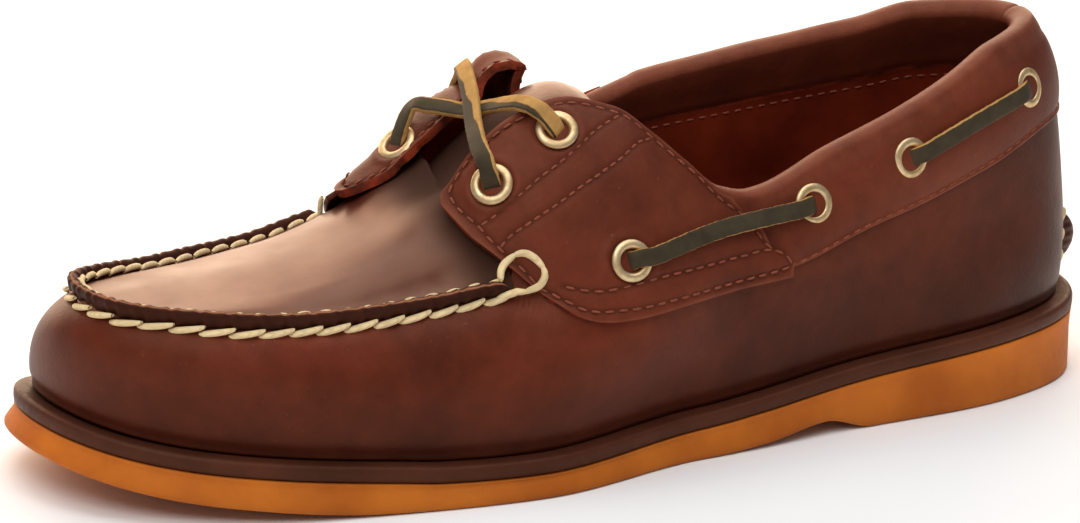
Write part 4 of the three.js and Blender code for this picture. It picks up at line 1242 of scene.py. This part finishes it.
class BOATSHOE_OT_heel_fin(ShoePiece, bpy.types.Operator):
    """The pinched seam at the back of the heel with its cream lacing stitches"""

    bl_idname = "boat_shoe.heel_fin"
    bl_label = "Heel seam"

    def execute(self, context):
        count = 60
        t = np.linspace(0, 1, count)
        back = 3 - 9.8 * np.sin(np.pi * t) ** 0.35
        height = 23.6 + 15.4 * t
        path = np.stack([np.full(count, 2.0), np.full(count, 0.0), height], -1)
        angle = round_turns(24)
        reach = (2.0 - back)[:, None] * np.maximum(np.cos(angle), -0.4)
        width = (3.4 * np.sin(np.pi * t) ** 0.3 * (1 + 0.05 * np.sin(40 * t)))[:, None] * np.sin(angle)
        section = np.stack([width, reach], -1)
        rings = swept(path, np.tile((0.0, 1.0, 0.0), (count, 1)), np.tile((-1.0, 0.0, 0.0), (count, 1)), section)
        piece = tube("heel_fin", rings[::-1], [finish_of("vamp", context)], {"wear": np.full(rings.shape[:2], 0.2)})
        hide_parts("heel_seam_fin")
        for side in (1, -1):
            stops = np.linspace(26, 38, 3)
            middle = np.stack([np.full(3, 0.4), np.full(3, side * 4.3), stops], -1)
            along = unit(np.tile((0.55, 0.1 * side, -1.0), (3, 1)))
            face = unit(np.tile((-0.25, side, 0.1), (3, 1)))
            piece = grains("heel_thread_" + SIDE_NAMES[side], middle, along, np.cross(face, along), face,
                           (5.6, 1.9, 2.0), [finish_of("cream", context)], sides=10, rings=9)
        return {"FINISHED"}


class BOATSHOE_OT_eyelets(ShoePiece, bpy.types.Operator):
    """Twelve brass eyelets: a rolled rim on the leather and a barrel through it"""

    bl_idname = "boat_shoe.eyelets"
    bl_label = "Eyelets"

    def execute(self, context):
        # The rim's and barrel's section, as (radius, height) pairs.
        profile = np.array([
            (3.0, -2.6), (3.5, -2.6), (3.5, 0.0), (4.4, 0.05), (5.1, 0.0), (5.35, 0.1), (5.42, 0.35),
            (5.3, 0.65), (4.95, 0.9), (4.4, 1.1), (3.9, 1.13), (3.5, 1.02), (3.2, 0.72), (3.05, 0.3),
            (3.0, -0.2),
        ])
        turn = round_turns(48)
        for (side, name), (point, normal, *_rest) in PLACES.items():
            across = unit(np.cross(normal, (0.0, 0.0, 1.0)))
            other = np.cross(normal, across)
            radial = np.cos(turn)[:, None] * across + np.sin(turn)[:, None] * other
            grid = point + profile[:, None, :1] * radial[None] + profile[:, None, 1:] * normal
            faces = grid_faces(len(profile), len(turn), wrap_rows=True, wrap_cols=True)
            label = SIDE_NAMES[side] + "_" + name
            piece = add_piece("eyelet_ring_" + label, grid, faces, [finish_of("brass", context)])
            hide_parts("eyelet_" + label)
        return {"FINISHED"}


def ribbon(name, middle, facing, materials, raw=(0.8, 0.8)):
    """A flat lace along a smooth line through its middle points, its faces turned to the facings. Its
    section is a rounded oblong. The edge number is 1 on its back and along its two narrow sides; raw says
    how far from the middle of the face the suede begins on the right, at the lace's start and at its end."""
    steps = 160
    path = soft_line(middle, 1200)
    turned = soft_line(facing, 1200)
    (path, turned), length = resample(path, steps, (turned,))
    ahead = tangents(path)
    across = unit(np.cross(ahead, turned))
    up = np.cross(across, ahead)
    angle = round_turns(24)
    cos, sin = np.cos(angle), np.sin(angle)
    a = np.sign(cos) * np.abs(cos) ** 0.35 * LACE_WIDTH / 2
    b = np.sign(sin) * np.abs(sin) ** 0.45 * LACE_THICKNESS / 2
    run = np.linspace(0, length, steps)[:, None]
    ripple = 1 + 0.02 * np.sin(run * 1.3) + 0.015 * np.sin(run * 3.1 + 1)
    section = np.stack([a * ripple, b * np.ones_like(run)], -1)
    rings = swept(path, across, up, section)
    begins = raw[0] + (raw[1] - raw[0]) * run / length
    sides = np.maximum(smooth(cos - begins, 0.0, 0.18), smooth(-cos, 0.8, 0.98))
    edge = np.maximum(sides, smooth(-sin, 0.0, 0.3))
    return tube(name, rings, materials, {"edge": edge})


class BOATSHOE_OT_laces(ShoePiece, bpy.types.Operator):
    """The rawhide laces: four lengths along the sides and two that cross over the throat, each going down
    into its eyelets"""

    bl_idname = "boat_shoe.laces"
    bl_label = "Laces"

    def execute(self, context):
        lace = [finish_of("lace", context)]
        for side in (1, -1):
            for label, start, end in (("front", "side_1", "side_2"), ("rear", "side_3", "side_4")):
                a, b = PLACES[side, start], PLACES[side, end]
                share = np.array([0.1, 0.2, 0.35, 0.5, 0.65, 0.8, 0.9])
                along, rise, lift = (a[k] + (b[k] - a[k]) * share for k in (2, 3, 4))
                over = 2.1 - 0.4 * np.sin(np.pi * share) ** 0.5
                points, normals = on_skin(along, rise, side, lift + over)
                chord = a[0] + (b[0] - a[0]) * share[:, None] + [0.0, 0.0, 1.0] * np.sin(np.pi * share)[:, None]
                points[:, 0], points[:, 2] = chord[:, 0], chord[:, 2]
                way = unit(b[0] - a[0])
                middle = np.concatenate([
                    [a[0] - LACE_END * a[1] - 0.2 * way, a[0] + 0.1 * a[1] + 0.4 * way, a[0] + 1.7 * a[1] + 2.6 * way],
                    points,
                    [b[0] + 1.7 * b[1] - 2.6 * way, b[0] + 0.1 * b[1] - 0.4 * way, b[0] - LACE_END * b[1] + 0.2 * way],
                ])
                facing = np.concatenate([
                    [-way, unit(a[1] - way), unit(a[1] * 1.5 - 0.4 * way)], normals,
                    [unit(b[1] * 1.5 + 0.4 * way), unit(b[1] + way), way],
                ])
                piece = ribbon("lace_" + SIDE_NAMES[side] + "_" + label, middle, facing, lace)
                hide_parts("lace_side_" + SIDE_NAMES[side] + "_" + label)
        bars = {
            "under": ("front_upper", "front_lower", (-0.5, 0.6), [
                (174.9, 22.4, 90.6), (177.4, 15, 91.2), (180.3, 3, 87.2), (182.2, -4, 84.8), (187, -13, 84.2),
                (190.4, -18.5, 82.8),
            ]),
            "over": ("front_lower", "front_upper", (0.75, -1.1), [
                (190.4, 23.2, 79), (189.2, 16.5, 82), (185.6, 6.5, 85.2), (181.8, -2.5, 88.8),
                (178.2, -12.5, 91.8), (175.2, -20, 91.8), (173.2, -24.5, 89.6),
            ]),
        }
        for label, (start, end, raw, between) in bars.items():
            a, b = PLACES[1, start], PLACES[-1, end]
            between = np.array(between)
            way_a, way_b = unit(between[0] - a[0]), unit(b[0] - between[-1])
            upwards = np.tile(unit(np.array([0.62, 0.0, 0.78])), (len(between), 1))
            middle = np.concatenate([
                [a[0] - CROSSING_END * a[1], a[0] + 0.2 * a[1] + 0.2 * way_a], between,
                [b[0] + 0.2 * b[1] - 0.2 * way_b, b[0] - CROSSING_END * b[1]],
            ])
            facing = np.concatenate([
                [unit(0.3 * a[1] - way_a), unit(a[1] - way_a)], upwards, [unit(b[1] + way_b), unit(0.3 * b[1] + way_b)],
            ])
            piece = ribbon("lace_crossing_" + label, middle, facing, lace, raw)
            if label == "over":
                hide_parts("lace_crossing")
        return {"FINISHED"}


def raised(base, steps):
    """Functions of the turn: the base one plus each step."""
    return [lambda turn, step=step: base(turn) + step for step in steps]


def slab(name, turns, outs, heights, materials, cols, dish=0.0, tread=None):
    """A solid that fills the shoe's plan: rings of wall at the given outsets and heights, closed across the
    shoe above and below. outs and heights are functions of the turn, from the lowest ring up; the top
    can be dished, and a tread function cuts into the bottom."""
    share = np.linspace(1, -1, cols)[None, :, None]
    outer = np.stack([sole_edge(turns, 1, out(turns), high(turns)) for out, high in zip(outs, heights)], 1)
    inner = np.stack([sole_edge(turns, -1, out(turns), high(turns)) for out, high in zip(outs, heights)], 1)

    def across(k):
        left, right = outer[:, k][:, None], inner[:, k][:, None]
        return left * (1 + share) / 2 + right * (1 - share) / 2

    top = across(-1)
    top[..., 2] -= dish * (1 - share[..., 0] ** 4)
    bottom = across(0)
    if tread is not None:
        bottom[..., 2] += tread(bottom, share[..., 0])
    # Round each station: up the outer wall, over the top, down the inner wall and back along the bottom.
    loop = np.concatenate([outer[:, 1:-1], top, inner[:, 1:-1][:, ::-1], bottom[:, ::-1]], 1)
    rows, count = loop.shape[:2]
    return add_piece(name, loop, grid_faces(rows, count, wrap_cols=True), materials)


class BOATSHOE_OT_insole(ShoePiece, bpy.types.Operator):
    """The insole: a cupped footbed inside the upper"""

    bl_idname = "boat_shoe.insole"
    bl_label = "Insole"

    def execute(self, context):
        inset = -FOOT_INSET - LEATHER - 1
        turns = np.linspace(0.02, np.pi - 0.02, 130)
        base = lambda turn: SOLE_TOP(turn) + MIDSOLE_THICKNESS + GAP
        outs = raised(lambda turn: inset + 0 * turn, (0.0, 0.3, 0.0, -1.2))
        heights = raised(base, (0.0, 1.5, 3.3, 3.9))
        piece = slab("footbed", turns, outs, heights, [finish_of("insole", context)], cols=41, dish=0.9)
        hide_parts("insole")
        return {"FINISHED"}


class BOATSHOE_OT_midsole(ShoePiece, bpy.types.Operator):
    """The brown midsole: a ledge round the foot of the upper"""

    bl_idname = "boat_shoe.midsole"
    bl_label = "Midsole"

    def execute(self, context):
        turns = np.linspace(0.0, np.pi, 420)
        outs = raised(lambda turn: 0 * turn, (-0.5, 0.05, 0.15, 0.1, -0.15, -0.7, -1.6))
        heights = raised(SOLE_TOP, (0.0, 0.35, 1.4, 2.8, 3.5, 3.95, 4.05))
        piece = slab("midsole_ledge", turns, outs, heights, [finish_of("midsole", context)], cols=9)
        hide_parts("midsole")
        return {"FINISHED"}


def tread_relief(bottom, share):
    """Cuts in the sole's underside: wavy slits across it every 6 mm, a plain border, and a plain waist."""
    x = bottom[..., 0]
    wave = np.sin(2 * np.pi * (x / 6.0 + 0.28 * np.sin(2 * np.pi * bottom[..., 1] / 12.0)))
    inside = 1 - smooth(np.abs(share), 0.86, 0.9)
    waist = 1 - bump(x, 106, 12)
    return 1.1 * smooth(wave, 0.72, 0.95) * inside * waist


class BOATSHOE_OT_outsole(ShoePiece, bpy.types.Operator):
    """The gum outsole: a low wall that flares to its underside, an arched waist, and a cut tread"""

    bl_idname = "boat_shoe.outsole"
    bl_label = "Outsole"

    def execute(self, context):
        turns = np.linspace(0.0, np.pi, 520)
        # From the underside up: the share of the flare and the outset, and the height of each ring.
        shares = [(1, -0.8), (1, -0.25), (1, 0.05), (1, 0.0), (0.62, -0.15), (0.25, -0.3), (0, -0.2), (0, 0.0),
                  (0, -0.2), (0, -0.6)]
        outs = [lambda t, k=k, o=o: SOLE_FLARE(t) * k + o for k, o in shares]
        lip = 1.5
        wall = lambda t: SOLE_TOP(t) - GAP - SOLE_UNDER(t)
        heights = [
            *raised(SOLE_UNDER, (0.0, 0.12, 0.6, lip)),
            *(lambda t, k=k: SOLE_UNDER(t) + lip + (wall(t) - lip) * k for k in (0.35, 0.65, 0.85)),
            *(lambda t, r=r: SOLE_UNDER(t) + wall(t) - r for r in (0.4, 0.1, 0.0)),
        ]
        piece = slab("gum_outsole", turns, outs, heights, [finish_of("gum", context)], cols=65, tread=tread_relief)
        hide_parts("outsole")
        return {"FINISHED"}


class BOATSHOE_OT_stage(ShoePiece, bpy.types.Operator):
    """The pale floor, the soft lights and the camera"""

    bl_idname = "boat_shoe.stage"
    bl_label = "Floor, lights and camera"

    def execute(self, context):
        s = context.scene.boat_shoe
        scene = context.scene
        half, lines, below = 6, 25, 0.0002
        x, y = np.meshgrid(np.linspace(-half, half, lines), np.linspace(-half, half, lines), indexing="ij")
        mesh = bpy.data.meshes.new("floor")
        corners = np.stack([x, y, 0 * x - below], -1).reshape(-1, 3)
        mesh.from_pydata(corners, [], grid_faces(lines, lines)[:, ::-1].tolist())
        mesh.materials.append(backdrop_white("floor paper", s.floor_colour))
        floor = bpy.data.objects.new("floor", mesh)
        scene.collection.objects.link(floor)
        world = bpy.data.worlds.new("soft room")
        world.use_nodes = True
        sky = world.node_tree.nodes["Background"]
        sky.inputs["Color"].default_value = (1.0, 1.0, 1.0, 1)
        sky.inputs["Strength"].default_value = s.room_light
        scene.world = world
        scene.view_settings.view_transform = "Standard"
        # Name, place, aim, width, height, power and colour.
        lamps = [
            ("key_softbox", (0.75, 0.75, 1.25), (0.04, 0.0, 0.03), 1.1, 0.9, s.key_light, (1.0, 1.0, 1.0)),
            ("top_softbox", (-0.1, -0.1, 1.6), (0.0, 0.0, 0.03), 1.8, 1.4, s.top_light, (1.0, 1.0, 1.0)),
            ("far_softbox", (-0.35, -1.5, 0.62), (0.05, 0.0, 0.04), 2.6, 1.7, s.far_light, (1.0, 0.74, 0.52)),
        ]
        for name, at, aim, wide, high, power, tint in lamps:
            lamp = bpy.data.lights.new(name, "AREA")
            lamp.shape = "RECTANGLE"
            lamp.size, lamp.size_y = wide, high
            lamp.energy, lamp.color = power, tint
            light = bpy.data.objects.new(name, lamp)
            light.location = at
            light.rotation_euler = (Vector(aim) - Vector(at)).to_track_quat("-Z", "Y").to_euler()
            scene.collection.objects.link(light)
        lens = bpy.data.cameras.new("camera")
        lens.sensor_width = 36
        lens.lens = 138.97
        lens.shift_x = -0.0336
        lens.shift_y = 0.0065
        lens.clip_start, lens.clip_end = 0.05, 20
        camera = bpy.data.objects.new("camera", lens)
        right = (-0.876921, 0.479383, 0.033584)
        up = (-0.116741, -0.280212, 0.952800)
        back = (0.466242, 0.831477, 0.301735)
        turned = Matrix((right, up, back)).transposed().to_4x4()
        camera.matrix_world = Matrix.Translation((0.50779, 0.90072, 0.36670)) @ turned
        scene.collection.objects.link(camera)
        scene.camera = camera
        return {"FINISHED"}


# --- Settings and panel ---------------------------------------------------------------------------------

def colour_setting(name, what, default):
    """A colour a user may change, as linear red, green and blue."""
    return bpy.props.FloatVectorProperty(name=name, description=what, default=default, size=3, min=0, max=1,
                                         subtype="COLOR")


class BoatShoeSettings(bpy.types.PropertyGroup):
    """Sizes, colours and lights of the shoe"""

    stations: bpy.props.IntProperty(
        name="Stations", description="Steps along one side of the upper's grid", default=360, min=60, max=600)
    seam_pitch: bpy.props.FloatProperty(
        name="Seam stitch", description="Length of one moccasin stitch, in millimetres", default=7.0, min=3, max=12)
    seam_thread: bpy.props.FloatProperty(
        name="Seam thread", description="Thickness of the seam thread, in millimetres", default=1.7, min=0.5, max=3)
    vamp_colour: colour_setting("Vamp", "Dye of the vamp leather", (0.150, 0.028, 0.013))
    vamp_deep: colour_setting("Vamp shade", "Darker dye of the vamp leather", (0.075, 0.014, 0.007))
    saddle_colour: colour_setting("Saddle", "Dye of the saddle leather", (0.155, 0.032, 0.015))
    saddle_deep: colour_setting("Saddle shade", "Darker dye of the saddle leather", (0.100, 0.021, 0.011))
    apron_colour: colour_setting("Apron", "Dye of the apron leather", (0.110, 0.030, 0.018))
    tongue_colour: colour_setting("Tongue", "Dye of the tongue leather", (0.120, 0.040, 0.026))
    lip_colour: colour_setting("Seam lip", "Dye of the pinched seam lip", (0.040, 0.010, 0.006))
    worn_colour: colour_setting("Worn leather", "Leather where it is rubbed", (0.280, 0.085, 0.045))
    edge_colour: colour_setting("Cut edge", "Raw edge of the saddle", (0.300, 0.042, 0.016))
    pale_edge_colour: colour_setting("Pale cut edge", "Raw edge of the seam lip", (0.300, 0.120, 0.060))
    lining_colour: colour_setting("Lining", "Lining leather", (0.200, 0.024, 0.008))
    lining_deep: colour_setting("Lining shade", "Rubbed lining leather", (0.100, 0.011, 0.004))
    cream_colour: colour_setting("Cream thread", "Thread of the moccasin seam", (0.830, 0.640, 0.360))
    cream_shadow: colour_setting("Cream thread shade", "Between the plies", (0.500, 0.310, 0.130))
    tan_colour: colour_setting("Tan thread", "Thread of the machine rows", (0.270, 0.072, 0.040))
    tan_shadow: colour_setting("Tan thread shade", "Between the plies", (0.100, 0.026, 0.014))
    lace_colour: colour_setting("Lace", "Grain face of the rawhide lace", (0.050, 0.040, 0.024))
    suede_colour: colour_setting("Lace edge", "Suede edge of the rawhide lace", (0.470, 0.260, 0.085))
    brass_colour: colour_setting("Brass", "Eyelets", (0.740, 0.560, 0.330))
    brass_dark: colour_setting("Brass tarnish", "Tarnish on the eyelets", (0.520, 0.370, 0.190))
    gum_colour: colour_setting("Gum", "Outsole rubber", (0.600, 0.165, 0.018))
    gum_dark: colour_setting("Gum shade", "Darker outsole rubber", (0.440, 0.105, 0.012))
    midsole_colour: colour_setting("Midsole", "Midsole rubber", (0.080, 0.022, 0.011))
    midsole_dark: colour_setting("Midsole shade", "Darker midsole rubber", (0.046, 0.013, 0.007))
    floor_colour: colour_setting("Floor", "Paper floor", (0.930, 0.930, 0.930))
    room_light: bpy.props.FloatProperty(
        name="Room light", description="Strength of the pale room", default=0.22, min=0)
    key_light: bpy.props.FloatProperty(
        name="Key light", description="Softbox above the toe on the camera's side", default=11, min=0)
    top_light: bpy.props.FloatProperty(
        name="Top light", description="Softbox overhead", default=17.5, min=0)
    far_light: bpy.props.FloatProperty(
        name="Far light", description="Low softbox beyond the shoe, which the apron mirrors", default=50, min=0)


OPERATORS = (
    BOATSHOE_OT_outsole, BOATSHOE_OT_midsole, BOATSHOE_OT_insole, BOATSHOE_OT_wall, BOATSHOE_OT_collar,
    BOATSHOE_OT_apron, BOATSHOE_OT_seam_lip, BOATSHOE_OT_seam_thread, BOATSHOE_OT_tongue, BOATSHOE_OT_saddles,
    BOATSHOE_OT_inner_quarter, BOATSHOE_OT_stitches, BOATSHOE_OT_heel_fin, BOATSHOE_OT_eyelets,
    BOATSHOE_OT_laces, BOATSHOE_OT_stage,
)


class BOATSHOE_PT_panel(bpy.types.Panel):
    """The shoe's pieces and settings in the 3D view's sidebar"""

    bl_label = "Boat shoe"
    bl_space_type = "VIEW_3D"
    bl_region_type = "UI"
    bl_category = "Boat shoe"

    def draw(self, context):
        for operator in OPERATORS:
            self.layout.operator(operator.bl_idname)
        for key in BoatShoeSettings.__annotations__:
            self.layout.prop(context.scene.boat_shoe, key)


CLASSES = (BoatShoeSettings, *OPERATORS, BOATSHOE_PT_panel)


def register():
    """Adds the classes and the scene's settings."""
    for cls in CLASSES:
        bpy.utils.register_class(cls)
    bpy.types.Scene.boat_shoe = bpy.props.PointerProperty(type=BoatShoeSettings)


def unregister():
    """Takes them away again."""
    del bpy.types.Scene.boat_shoe
    for cls in reversed(CLASSES):
        bpy.utils.unregister_class(cls)


def main():
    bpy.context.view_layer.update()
    register()
    for operator in OPERATORS:
        getattr(bpy.ops.boat_shoe, operator.bl_idname.split(".")[1])()


if __name__ == "__main__":
    main()
